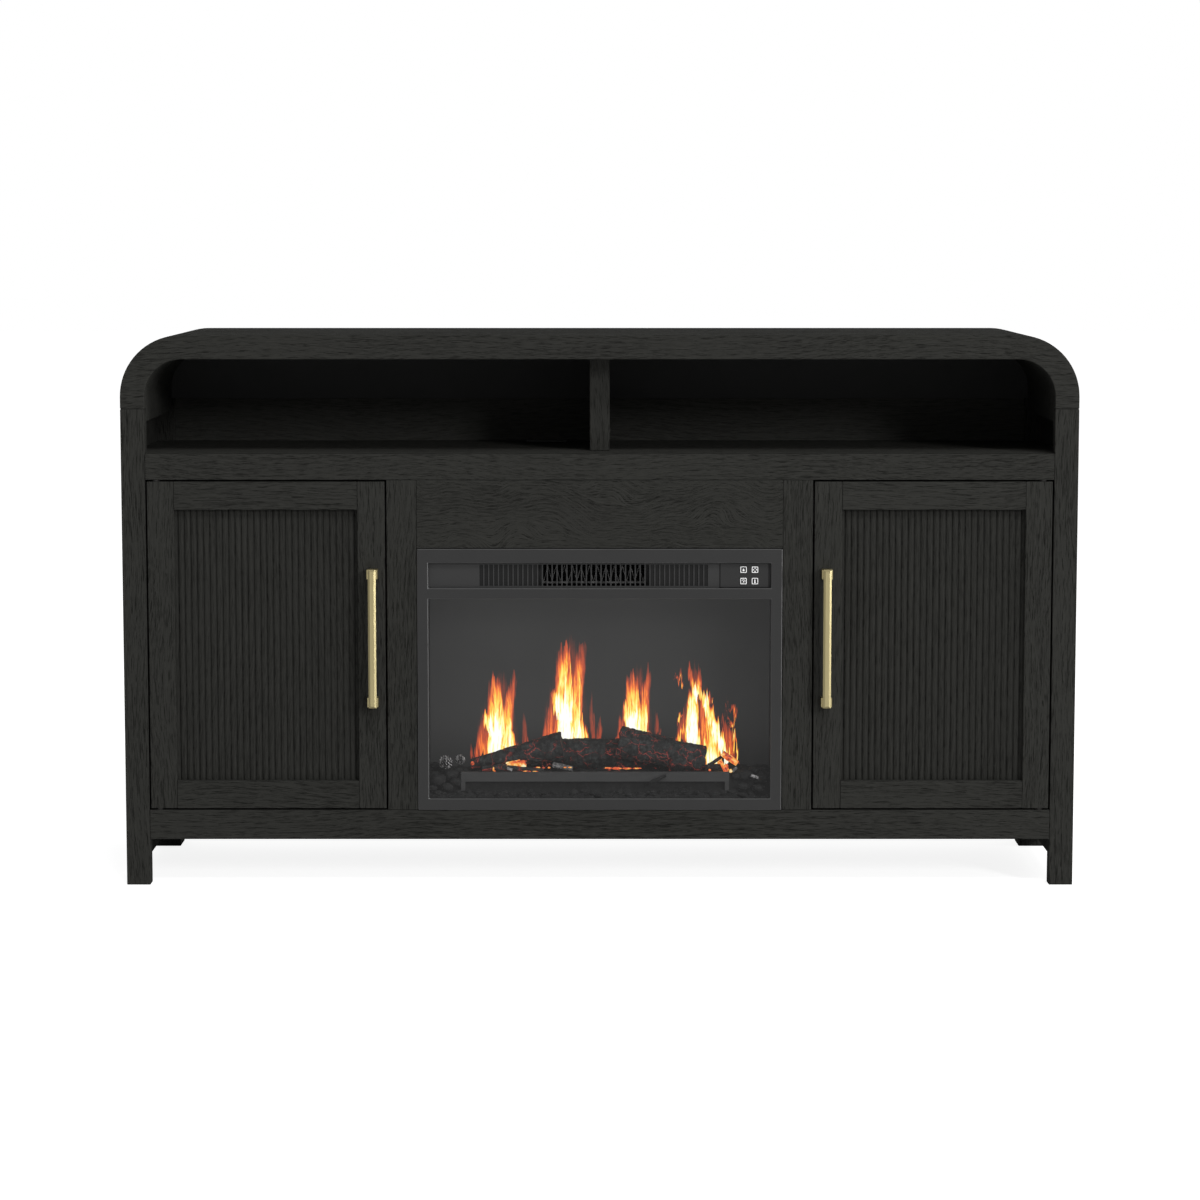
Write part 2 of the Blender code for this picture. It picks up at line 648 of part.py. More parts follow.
def make_front_frame(oak):
    """The fixed front: rails, centre stiles and the panel over the fire."""
    y = (FRONT, FRAME_BACK)
    reach = POST_INNER - FIT_GAP
    top_rail = board("top_rail", (-reach, reach), y, (RAIL_BOTTOM, SHELF_TOP), oak)
    apron = board("bottom_rail", (-reach, reach), y, (FOOT_HEIGHT, APRON_TOP), oak)
    stile_z = (APRON_TOP + FIT_GAP, RAIL_BOTTOM - FIT_GAP)
    for side_name, side in SIDES:
        board(f"{side_name}_centre_stile", span(side, CENTRE_INNER, CENTRE_OUTER), y, stile_z, oak)
    half = CENTRE_INNER - FIT_GAP
    panel_z = (BEZEL_TOP + OPENING_CLEARANCE, RAIL_BOTTOM - FIT_GAP)
    board("centre_panel", (-half, half), y, panel_z, oak)
    return top_rail, apron


def make_carcass_inside(oak):
    """The bottom board, the partitions beside the fire and the loose shelves."""
    carcass_board("bottom_board", (APRON_TOP - BOARD_THICKNESS, APRON_TOP), oak)
    y = (FRAME_BACK + FIT_GAP, BACK_FACE - FIT_GAP)
    z = (APRON_TOP + FIT_GAP, SHELF_TOP - BOARD_THICKNESS - FIT_GAP)
    shelf_y = (FRONT + LOOSE_SHELF_SETBACK, REAR_POST_FRONT - LOOSE_SHELF_REAR_PLAY)
    shelf_z = (APRON_TOP + LOOSE_SHELF_HEIGHT, APRON_TOP + LOOSE_SHELF_HEIGHT + BOARD_THICKNESS)
    for side_name, side in SIDES:
        across = span(side, PARTITION_OUTER - PARTITION_THICKNESS, PARTITION_OUTER)
        partition = block(f"{side_name}_partition", across, y, z, oak)
        add_pegs(partition, side, PARTITION_OUTER, side, oak)
        shelf_x = span(side, PARTITION_OUTER + LOOSE_SHELF_SIDE_PLAY, SIDE_INNER - LOOSE_SHELF_SIDE_PLAY)
        board(f"{side_name}_loose_shelf", shelf_x, shelf_y, shelf_z, oak)


def reeded_outline(near, far, crest, back, tongue):
    """The (x, y) outline of a panel with reeds in front, half ones at its ends, and a tongue at each side."""
    count = round((far - near) / REED_PITCH)
    pitch = (far - near) / count
    points = [(near - tongue, back), (near - tongue, crest), (near, crest)]
    for i in range(1, count * REED_SEGMENTS):
        reeds = i / REED_SEGMENTS
        share = (reeds + 0.5) % 1
        height = math.sqrt(max(0, 1 - (2 * share - 1) ** 2))
        points.append((near + reeds * pitch, crest + REED_RISE * (1 - height)))
    points += [(far, crest), (far + tongue, crest), (far + tongue, back)]
    return points


def make_door(side_name, side, top_rail, apron, materials):
    """A frame of two stiles and two rails round a reeded panel, with its pull, strike, pivots and catch."""
    oak = materials["oak"]
    axis = add_empty(f"{side_name}_door_axis", (side * PIVOT_X, PIVOT_Y, (DOOR_BOTTOM + DOOR_TOP) / 2))
    y = (FRONT, DOOR_BACK)
    z = (DOOR_BOTTOM, DOOR_TOP)
    near = DOOR_NEAR + LATCH_STILE_WIDTH
    far = DOOR_FAR - HINGE_STILE_WIDTH
    latch_stile = board(f"{side_name}_door_latch_stile", span(side, DOOR_NEAR, near), y, z, oak, axis)
    hinge_stile = board(f"{side_name}_door_hinge_stile", span(side, far, DOOR_FAR), y, z, oak, axis)
    rail_x = span(side, near + FIT_GAP, far - FIT_GAP)
    low_z = (DOOR_BOTTOM, DOOR_BOTTOM + DOOR_RAIL_HEIGHT)
    high_z = (DOOR_TOP - DOOR_RAIL_HEIGHT, DOOR_TOP)
    low_rail = board(f"{side_name}_door_bottom_rail", rail_x, y, low_z, oak, axis)
    high_rail = board(f"{side_name}_door_top_rail", rail_x, y, high_z, oak, axis)

    seat = block(
        f"{side_name}_panel_seat_helper",
        span(side, near - PANEL_TONGUE - FIT_GAP, far + PANEL_TONGUE + FIT_GAP),
        (FRONT + PANEL_RECESS, DOOR_BACK + CUT_OVERRUN),
        (low_z[1] - PANEL_TONGUE - FIT_GAP, high_z[0] + PANEL_TONGUE + FIT_GAP),
        oak,
        axis,
    )
    for member in (latch_stile, hinge_stile, low_rail, high_rail):
        cut(member, seat)

    low, high = span(side, near, far)
    crest = FRONT + PANEL_RECESS + FIT_GAP
    outline = reeded_outline(low, high, crest, crest + PANEL_THICKNESS, PANEL_TONGUE)
    panel_z = (low_z[1] - PANEL_TONGUE, high_z[0] + PANEL_TONGUE)
    panel = outline_solid(f"{side_name}_door_panel", outline, "Z", panel_z[0], panel_z[1], oak, axis)
    panel.data.shade_smooth()
    panel.data.set_sharp_from_angle(angle=math.radians(50))

    make_pull(side_name, side, axis, materials["brass"])
    make_pivots(side_name, side, hinge_stile, top_rail, apron, materials["steel"])
    make_catch(side_name, side, axis, materials)


def make_pull(side_name, side, axis, brass):
    """A bar pull: a flat bar, chamfered all round its face, in front of two square posts, cast as one."""
    x = side * (DOOR_NEAR + PULL_INSET)
    back = FRONT - FIT_GAP
    tip = FRONT - PULL_PROJECTION
    high = DOOR_TOP - PULL_TOP_DROP
    low = high - PULL_LENGTH
    half = PULL_BAR_WIDTH / 2
    bar_back = tip + PULL_BAR_DEPTH
    sections = (
        (half - PULL_BAR_CHAMFER, PULL_LENGTH / 2 - PULL_BAR_CHAMFER, tip),
        (half, PULL_LENGTH / 2, tip + PULL_BAR_CHAMFER),
        (half, PULL_LENGTH / 2, bar_back),
    )
    pull = stepped_block(f"{side_name}_door_pull", (x, 0, (low + high) / 2), "Y", sections, brass, axis)
    post_half = PULL_POST_WIDTH / 2
    post_y = (bar_back - PULL_POST_LAP, back)
    ends = ((low + PULL_POST_LAP / 2, low + PULL_POST_HEIGHT), (high - PULL_POST_HEIGHT, high - PULL_POST_LAP / 2))
    for i, post_z in enumerate(ends):
        name = f"{side_name}_pull_post_helper_{i}"
        join(pull, block(name, (x - post_half, x + post_half), post_y, post_z, brass, axis))


def make_pivots(side_name, side, hinge_stile, top_rail, apron, steel):
    """The two steel pivot pins, each with a collar that fills the gap between the door and the frame."""
    x = side * PIVOT_X
    hole_radius = PIVOT_RADIUS + SHAFT_PLAY
    hole_depth = PIVOT_DEPTH + FIT_GAP
    rows = (
        ("bottom", apron, APRON_TOP, 1),
        ("top", top_rail, RAIL_BOTTOM, -1),
    )
    for end, rail, level, way in rows:
        direction = (0, 0, way)
        profile = (
            (PIVOT_RADIUS, 0),
            (PIVOT_RADIUS, PIVOT_DEPTH + FIT_GAP),
            (PIVOT_COLLAR_RADIUS, PIVOT_DEPTH + FIT_GAP),
            (PIVOT_COLLAR_RADIUS, PIVOT_DEPTH + DOOR_GAP - FIT_GAP),
            (PIVOT_RADIUS, PIVOT_DEPTH + DOOR_GAP - FIT_GAP),
            (PIVOT_RADIUS, 2 * PIVOT_DEPTH + DOOR_GAP),
        )
        start = (x, PIVOT_Y, level - way * PIVOT_DEPTH)
        turned(f"{side_name}_pivot_{end}", profile, start, direction, steel)
        hole_start = (x, PIVOT_Y, level - way * hole_depth)
        hole_end = (x, PIVOT_Y, level + way * (DOOR_GAP + hole_depth))
        name = f"{side_name}_{end}_pivot_hole_helper"
        hole = rod(name, hole_radius, hole_start, hole_end, steel)
        cut(rail, hole)
        cut(hinge_stile, hole)


def make_catch(side_name, side, axis, materials):
    """A magnet catch on the partition, and its steel strike on the back of the door."""
    top = DOOR_TOP - CATCH_TOP_MARGIN
    z = (top - CATCH_HEIGHT, top)
    strike_near = DOOR_NEAR + STRIKE_EDGE_MARGIN
    strike_mid = (z[0] + z[1]) / 2
    strike_back = DOOR_BACK + FIT_GAP + STRIKE_THICKNESS
    block(
        f"{side_name}_door_strike",
        span(side, strike_near, strike_near + STRIKE_WIDTH),
        (DOOR_BACK + FIT_GAP, strike_back),
        (strike_mid - STRIKE_HEIGHT / 2, strike_mid + STRIKE_HEIGHT / 2),
        materials["steel"],
        axis,
    )
    near = PARTITION_OUTER + FIT_GAP
    catch_y = (strike_back + FIT_GAP, strike_back + FIT_GAP + CATCH_DEPTH)
    board(f"{side_name}_catch", span(side, near, near + CATCH_WIDTH), catch_y, z, materials["catch"])


def make_insert_front(materials):
    """The bezel with its two windows, the glass, the vent grille, the control plate and its four keys."""
    half = BEZEL_WIDTH / 2
    windows = [
        ((-WINDOW_HALF, WINDOW_HALF), (GLASS_WINDOW_BOTTOM, GLASS_WINDOW_TOP)),
        ((-WINDOW_HALF, WINDOW_HALF), (VENT_WINDOW_BOTTOM, VENT_WINDOW_TOP)),
    ]
    y = (FRONT - BEZEL_PROUD, BEZEL_BACK)
    bezel = pierced_plate("bezel", (-half, half), y, (BEZEL_BOTTOM, BEZEL_TOP), windows, materials["bezel"])
    ease(bezel, BEZEL_CHAMFER)

    reach = FIRE_HALF - GLASS_EDGE_PLAY
    glass_z = (FIRE_FLOOR + GLASS_EDGE_PLAY, DUCT_BOTTOM - GLASS_EDGE_PLAY)
    block("glass", (-reach, reach), (INSERT_FRONT, INSERT_FRONT + GLASS_THICKNESS), glass_z, materials["glass"])

    plate_y = (INSERT_FRONT, INSERT_FRONT + GRILLE_THICKNESS)
    plate_z = (DUCT_FLOOR + FIT_GAP, DUCT_TOP - FIT_GAP)
    start = -WINDOW_HALF + SLOT_FIELD_START
    run = CONTROL_NEAR - SLOT_FIELD_END - start + SLOT_BAR_WIDTH
    count = round(run / SLOT_PITCH)
    pitch = run / count
    slot_z = (VENT_WINDOW_BOTTOM + SLOT_END_MARGIN, VENT_WINDOW_TOP - SLOT_END_MARGIN)
    slots = []
    for i in range(count):
        low = start + i * pitch
        slots.append(((low, low + pitch - SLOT_BAR_WIDTH), slot_z))
    grille_end = CONTROL_NEAR - FIT_GAP
    grille_x = (-FIRE_HALF + FIT_GAP, grille_end)
    grille = pierced_plate("vent_grille", grille_x, plate_y, plate_z, slots, materials["bezel"])
    baffle_y = (plate_y[1] - BAFFLE_LAP, plate_y[1] + BAFFLE_THICKNESS)
    baffle_z = (slot_z[0] - SLOT_END_MARGIN, slot_z[1] + SLOT_END_MARGIN)
    baffles = (
        ("left", (start - SLOT_PITCH, -WINDOW_HALF + VENT_OPEN_START)),
        ("right", (CONTROL_NEAR - VENT_OPEN_END, grille_end - FIT_GAP)),
    )
    for end, x in baffles:
        join(grille, block(f"{end}_baffle_helper", x, baffle_y, baffle_z, materials["bezel"]))
    make_controls(plate_z, materials)


def make_controls(plate_z, materials):
    """The control plate, a thin flange with a raised face in the vent window, and its keys."""
    y = (INSERT_FRONT - CONTROL_RISE, INSERT_FRONT + GRILLE_THICKNESS)
    centre_x = (CONTROL_NEAR + CONTROL_FAR) / 2 + KEY_OFFSET
    hole_half = KEY_SIZE / 2 + FIT_GAP
    places = []
    for row, up in (("top", 1), ("bottom", -1)):
        for column, across in (("left", -1), ("right", 1)):
            x = centre_x + across * KEY_SPACING / 2
            z = VENT_MIDDLE + up * KEY_SPACING / 2
            places.append((f"key_{row}_{column}", x, z))
    holes = []
    wider_holes = []
    for _, x, z in places:
        holes.append(((x - hole_half, x + hole_half), (z - hole_half, z + hole_half)))
        wide = hole_half + FIT_GAP
        wider_holes.append(((x - wide, x + wide), (z - wide, z + wide)))
    raised_x = (CONTROL_NEAR, CONTROL_FAR)
    raised_y = (y[0], y[1] - GRILLE_THICKNESS / 4)
    raised_z = (VENT_WINDOW_BOTTOM + CONTROL_EDGE_GAP, VENT_WINDOW_TOP - CONTROL_EDGE_GAP)
    plate = pierced_plate("control_plate", raised_x, raised_y, raised_z, holes, materials["control"])
    flange_x = (CONTROL_NEAR + FIT_GAP, FIRE_HALF - FIT_GAP)
    flange_y = (y[1] - GRILLE_THICKNESS / 2, y[1])
    name = "control_flange_helper"
    join(plate, pierced_plate(name, flange_x, flange_y, plate_z, wider_holes, materials["control"]))
    half = KEY_SIZE / 2
    wide = half + KEY_FLANGE
    for name, x, z in places:
        sections = (
            (half, half, y[0] - KEY_PROUD),
            (half, half, y[1] + FIT_GAP),
            (wide, wide, y[1] + FIT_GAP),
            (wide, wide, y[1] + FIT_GAP + KEY_FLANGE_DEPTH),
        )
        stepped_block(name, (x, 0, z), "Y", sections, materials["key"])


def make_casing(materials):
    """The sheet-metal casing: the fire's box below, the warm-air duct above, and the cord's gland behind."""
    half = CASE_WIDTH / 2
    metal = materials["case"]
    case = block("fire_case", (-half, half), (INSERT_FRONT, CASE_REAR), (CASE_BOTTOM, CASE_TOP), metal)
    inside_y = (INSERT_FRONT - CUT_OVERRUN, CASE_REAR - CASE_WALL)
    rooms = (("fire", FIRE_FLOOR, DUCT_BOTTOM), ("duct", DUCT_FLOOR, DUCT_TOP))
    for room, low, high in rooms:
        cut(case, block(f"{room}_room_helper", (-FIRE_HALF, FIRE_HALF), inside_y, (low, high), metal))
    gland_z = FIRE_FLOOR + GLAND_HEIGHT
    gland_end = (0, CASE_REAR + GLAND_LENGTH, gland_z)
    join(case, rod("gland_helper", GLAND_RADIUS, (0, CASE_REAR - CASE_WALL / 2, gland_z), gland_end, metal))
    bore_start = (0, CASE_REAR - CASE_WALL - CUT_OVERRUN, gland_z)
    bore_end = (0, CASE_REAR + GLAND_LENGTH + CUT_OVERRUN, gland_z)
    cut(case, rod("gland_bore_helper", GLAND_BORE_RADIUS, bore_start, bore_end, metal))
    bearing_start = (-half - CUT_OVERRUN, ROTOR_Y, ROTOR_Z)
    bearing_end = (-FIRE_HALF + CUT_OVERRUN, ROTOR_Y, ROTOR_Z)
    cut(case, rod("bearing_hole_helper", SHAFT_RADIUS + SHAFT_PLAY, bearing_start, bearing_end, metal))


def make_fire_bed(materials):
    """The ember bed, the grate bar that stands on its front step, the logs and the flame screen."""
    floor = FIRE_FLOOR + FIT_GAP
    step = EMBER_FRONT + EMBER_STEP_SETBACK
    outline = (
        (EMBER_FRONT, floor),
        (EMBER_FRONT, floor + EMBER_FRONT_HEIGHT),
        (step, floor + EMBER_STEP_HEIGHT),
        (step + EMBER_STEP_DEPTH, EMBER_TOP),
        (EMBER_REAR, EMBER_TOP),
        (EMBER_REAR, floor),
    )
    reach = FIRE_HALF - FIT_GAP
    outline_solid("ember_bed", outline, "X", -reach, reach, materials["ember"])

    low = -FIRE_HALF + GRATE_LEFT_MARGIN
    high = FIRE_HALF - GRATE_RIGHT_MARGIN
    bar_y = (EMBER_FRONT + GRATE_SETBACK, EMBER_FRONT + GRATE_SETBACK + GRATE_BAR_DEPTH)
    bar_bottom = floor + GRATE_RISE
    bar_z = (bar_bottom, bar_bottom + GRATE_BAR_HEIGHT)
    grate = block("grate", (low, high), bar_y, bar_z, materials["case"])
    leg_foot = floor + EMBER_STEP_HEIGHT + FIT_GAP
    for i, leg_x in enumerate(((low, low + GRATE_LEG_WIDTH), (high - GRATE_LEG_WIDTH, high))):
        leg_z = (leg_foot, bar_bottom + GRATE_BAR_HEIGHT / 2)
        inset = (leg_x[0] + FIT_GAP, leg_x[1] - FIT_GAP)
        leg_y = (bar_y[0] + FIT_GAP, bar_y[1] - FIT_GAP)
        join(grate, block(f"grate_leg_helper_{i}", inset, leg_y, leg_z, materials["case"]))

    make_logs(materials["log"])
    screen_y = (SCREEN_FRONT, SCREEN_FRONT + SCREEN_THICKNESS)
    screen_z = (floor, DUCT_BOTTOM - FIT_GAP)
    block("flame_screen", (-reach, reach), screen_y, screen_z, materials["screen"])


def make_logs(resin):
    """The log set, moulded as one piece, which lies on the ember bed."""
    logs = []
    for i, ends in enumerate(LOG_SHARES):
        points = []
        for x_share, y_share, radius_share, rise_share in ends:
            x = x_share * CASE_WIDTH
            y = EMBER_FRONT + y_share * (EMBER_REAR - EMBER_FRONT)
            radius = radius_share * LOG_RADIUS
            z = EMBER_TOP + FIT_GAP + radius + rise_share * LOG_RADIUS
            points.append((Vector((x, y, z)), radius))
        (start, start_radius), (end, end_radius) = points
        along = end - start
        profile = ((start_radius, 0), (end_radius, along.length))
        name = "log_set" if i == 0 else f"log_helper_{i}"
        logs.append(turned(name, profile, start, along.normalized(), resin, segments=LOG_SIDES))
    for helper in logs[1:]:
        join(logs[0], helper)


def make_flame_rotor(materials):
    """The shaft of bright paddles that makes the flames flicker, and its motor on the casing's wall."""
    start = Vector((-CASE_WIDTH / 2, ROTOR_Y, ROTOR_Z))
    motor_near = FIRE_HALF - FIT_GAP - ROTOR_MOTOR_LENGTH
    end = Vector((motor_near + ROTOR_MOTOR_LENGTH / 2, ROTOR_Y, ROTOR_Z))
    steel = materials["steel"]
    rotor = rod("flame_rotor", SHAFT_RADIUS, start, end, steel, segments=12)
    run = motor_near + FIRE_HALF - 2 * ROTOR_PADDLE_WIDTH
    for i in range(ROTOR_PADDLE_COUNT):
        centre = -FIRE_HALF + ROTOR_PADDLE_WIDTH + run * (i + 0.5) / ROTOR_PADDLE_COUNT
        x = (centre - ROTOR_PADDLE_LENGTH / 2, centre + ROTOR_PADDLE_LENGTH / 2)
        thin = ROTOR_PADDLE_THICKNESS / 2
        wide = ROTOR_PADDLE_WIDTH / 2
        across, up = (wide, thin) if i % 2 else (thin, wide)
        paddle = block(
            f"paddle_helper_{i}", x, (ROTOR_Y - across, ROTOR_Y + across), (ROTOR_Z - up, ROTOR_Z + up), steel
        )
        join(rotor, paddle)
    motor_start = (motor_near, ROTOR_Y, ROTOR_Z)
    motor_end = (motor_near + ROTOR_MOTOR_LENGTH, ROTOR_Y, ROTOR_Z)
    motor = rod("rotor_motor", ROTOR_MOTOR_RADIUS, motor_start, motor_end, materials["catch"], segments=20)
    bore_start = (motor_near - CUT_OVERRUN, ROTOR_Y, ROTOR_Z)
    bore_end = (end.x + FIT_GAP, ROTOR_Y, ROTOR_Z)
    bore = rod("rotor_bore_helper", SHAFT_RADIUS + SHAFT_PLAY, bore_start, bore_end, steel, segments=12)
    cut(motor, bore)


def make_blower(materials):
    """The cross-flow blower in the duct: a bladed wheel, and one frame with its motor and far bearing."""
    low = BLOWER_CENTRE_OFFSET - BLOWER_LENGTH / 2
    high = BLOWER_CENTRE_OFFSET + BLOWER_LENGTH / 2
    outline = []
    for i in range(BLOWER_BLADES):
        angle = 2 * math.pi * i / BLOWER_BLADES
        root = BLOWER_HUB_RADIUS
        tip = BLOWER_RADIUS
        thick = BLOWER_BLADE_THICKNESS / 2
        for radius, offset in ((root, -thick), (tip, -thick), (tip, thick), (root, thick)):
            y = radius * math.cos(angle) - offset * math.sin(angle)
            z = radius * math.sin(angle) + offset * math.cos(angle)
            outline.append((BLOWER_Y + y, BLOWER_Z + z))
    steel = materials["steel"]
    wheel = outline_solid("blower_wheel", outline, "X", low, high, steel)
    bearing_far = low - BLOWER_END_PLAY - BLOWER_PLATE_THICKNESS
    motor_near = high + BLOWER_END_PLAY
    motor_far = motor_near + BLOWER_MOTOR_LENGTH
    shaft_end = motor_near + BLOWER_MOTOR_LENGTH / 2
    ends = ((bearing_far, BLOWER_Y, BLOWER_Z), (shaft_end, BLOWER_Y, BLOWER_Z))
    join(wheel, rod("blower_shaft_helper", SHAFT_RADIUS, ends[0], ends[1], steel, segments=12))

    dark = materials["catch"]
    floor = DUCT_FLOOR + FIT_GAP
    half = BLOWER_PLATE_WIDTH / 2
    plate_y = (BLOWER_Y - half, BLOWER_Y + half)
    plate_top = floor + BLOWER_PLATE_THICKNESS
    frame = block("blower_motor", (bearing_far, motor_far), plate_y, (floor, plate_top), dark)
    cradle_half = half / 2
    lap = BLOWER_PLATE_THICKNESS / 2
    uprights = (
        ("bearing", (bearing_far, bearing_far + BLOWER_PLATE_THICKNESS), BLOWER_Z + BLOWER_HUB_RADIUS),
        ("cradle", (motor_near + lap, motor_far - lap), BLOWER_Z),
    )
    for name, x, top in uprights:
        y = (BLOWER_Y - cradle_half, BLOWER_Y + cradle_half)
        join(frame, block(f"{name}_helper", x, y, (floor + lap, top), dark))
    body_ends = ((motor_near, BLOWER_Y, BLOWER_Z), (motor_far, BLOWER_Y, BLOWER_Z))
    join(frame, rod("motor_body_helper", BLOWER_MOTOR_RADIUS, body_ends[0], body_ends[1], dark, segments=20))
    bore_ends = ((bearing_far - CUT_OVERRUN, BLOWER_Y, BLOWER_Z), (shaft_end + FIT_GAP, BLOWER_Y, BLOWER_Z))
    bore_radius = SHAFT_RADIUS + SHAFT_PLAY
    cut(frame, rod("motor_bore_helper", bore_radius, bore_ends[0], bore_ends[1], dark, segments=12))


def make_heater(wire):
    """The heating ribbon, folded in a zigzag between two posts on a lower bar."""
    low = HEATER_CENTRE_OFFSET - HEATER_WIDTH / 2
    high = HEATER_CENTRE_OFFSET + HEATER_WIDTH / 2
    y = (INSERT_FRONT + HEATER_SETBACK, INSERT_FRONT + HEATER_SETBACK + HEATER_DEPTH)
    bottom = DUCT_FLOOR + HEATER_LOW
    top = DUCT_FLOOR + HEATER_HIGH
    count = 2 * HEATER_TURNS
    start = low + HEATER_POST_WIDTH / 2
    step = (high - low - HEATER_POST_WIDTH) / count
    line = [(start + i * step, bottom + HEATER_WIRE if i % 2 else top - HEATER_WIRE) for i in range(count + 1)]
    outline = [(x, z - HEATER_WIRE) for x, z in line] + [(x, z + HEATER_WIRE) for x, z in reversed(line)]
    ribbon = outline_solid("heater_element", outline, "Y", y[0] + HEATER_WIRE, y[1] - HEATER_WIRE, wire)
    posts = ((low, low + HEATER_POST_WIDTH), (high - HEATER_POST_WIDTH, high))
    for i, x in enumerate(posts):
        join(ribbon, block(f"heater_post_helper_{i}", x, y, (DUCT_FLOOR + FIT_GAP, top + HEATER_WIRE), wire))
    bar_x = (low + HEATER_WIRE, high - HEATER_WIRE)
    bar_y = (y[0] + HEATER_WIRE / 2, y[1] - HEATER_WIRE / 2)
    bar_z = (bottom - HEATER_WIRE, bottom + HEATER_WIRE)
    join(ribbon, block("heater_bar_helper", bar_x, bar_y, bar_z, wire))


def main():
    for obj in list(bpy.data.objects):
        bpy.data.objects.remove(obj, do_unlink=True)
    materials = make_materials()
    oak = materials["oak"]
    make_top_shell(oak)
    make_posts_and_sides(oak)
    make_shelf_and_cover(materials)
    make_divider(oak)
    make_back(oak)
    top_rail, apron = make_front_frame(oak)
    make_carcass_inside(oak)
    for side_name, side in SIDES:
        make_door(side_name, side, top_rail, apron, materials)
    make_insert_front(materials)
    make_casing(materials)
    make_fire_bed(materials)
    make_flame_rotor(materials)
    make_blower(materials)
    make_heater(materials["wire"])


main()
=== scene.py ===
"""The look of the fireplace cabinet: its finishes, its fire, the studio round it and the camera."""

import functools
import math
import random

import bmesh
import bpy
from mathutils import Matrix, Vector, noise


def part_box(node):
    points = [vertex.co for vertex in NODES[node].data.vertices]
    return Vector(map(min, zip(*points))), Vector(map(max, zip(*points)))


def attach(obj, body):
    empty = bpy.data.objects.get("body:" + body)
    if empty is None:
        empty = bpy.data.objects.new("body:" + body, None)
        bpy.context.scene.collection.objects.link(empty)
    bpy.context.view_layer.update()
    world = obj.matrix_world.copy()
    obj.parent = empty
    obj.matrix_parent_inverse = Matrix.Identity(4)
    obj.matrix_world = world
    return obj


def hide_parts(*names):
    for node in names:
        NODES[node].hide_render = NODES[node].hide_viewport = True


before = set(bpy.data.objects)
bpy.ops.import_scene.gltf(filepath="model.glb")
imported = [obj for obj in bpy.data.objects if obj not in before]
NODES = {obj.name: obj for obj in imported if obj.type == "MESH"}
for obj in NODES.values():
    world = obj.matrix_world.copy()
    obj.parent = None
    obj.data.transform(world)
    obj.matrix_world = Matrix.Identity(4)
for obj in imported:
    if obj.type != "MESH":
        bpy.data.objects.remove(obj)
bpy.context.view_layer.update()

MM = 0.001
SIDES = ("left", "right")


# Node trees

# The sockets of a Mix node that mixes colours: its share, the two colours and the result.
MIX_SHARE, MIX_FIRST, MIX_SECOND, MIX_RESULT = 0, 6, 7, 2


def set_input(tree, node, key, value):
    """Links a socket to an input of a node, or gives the input a value."""
    if isinstance(value, bpy.types.NodeSocket):
        tree.links.new(value, node.inputs[key])
    else:
        node.inputs[key].default_value = value


def make_node(tree, kind, inputs, result=0, **settings):
    """Makes a node with some settings and inputs, and returns one of its outputs."""
    node = tree.nodes.new(kind)
    for key, value in settings.items():
        setattr(node, key, value)
    for key, value in inputs.items():
        set_input(tree, node, key, value)
    return node.outputs[result]


def math_node(tree, operation, *values, clamp=False):
    """The result of one sum of sockets and numbers."""
    inputs = dict(enumerate(values))
    return make_node(tree, "ShaderNodeMath", inputs, operation=operation, use_clamp=clamp)


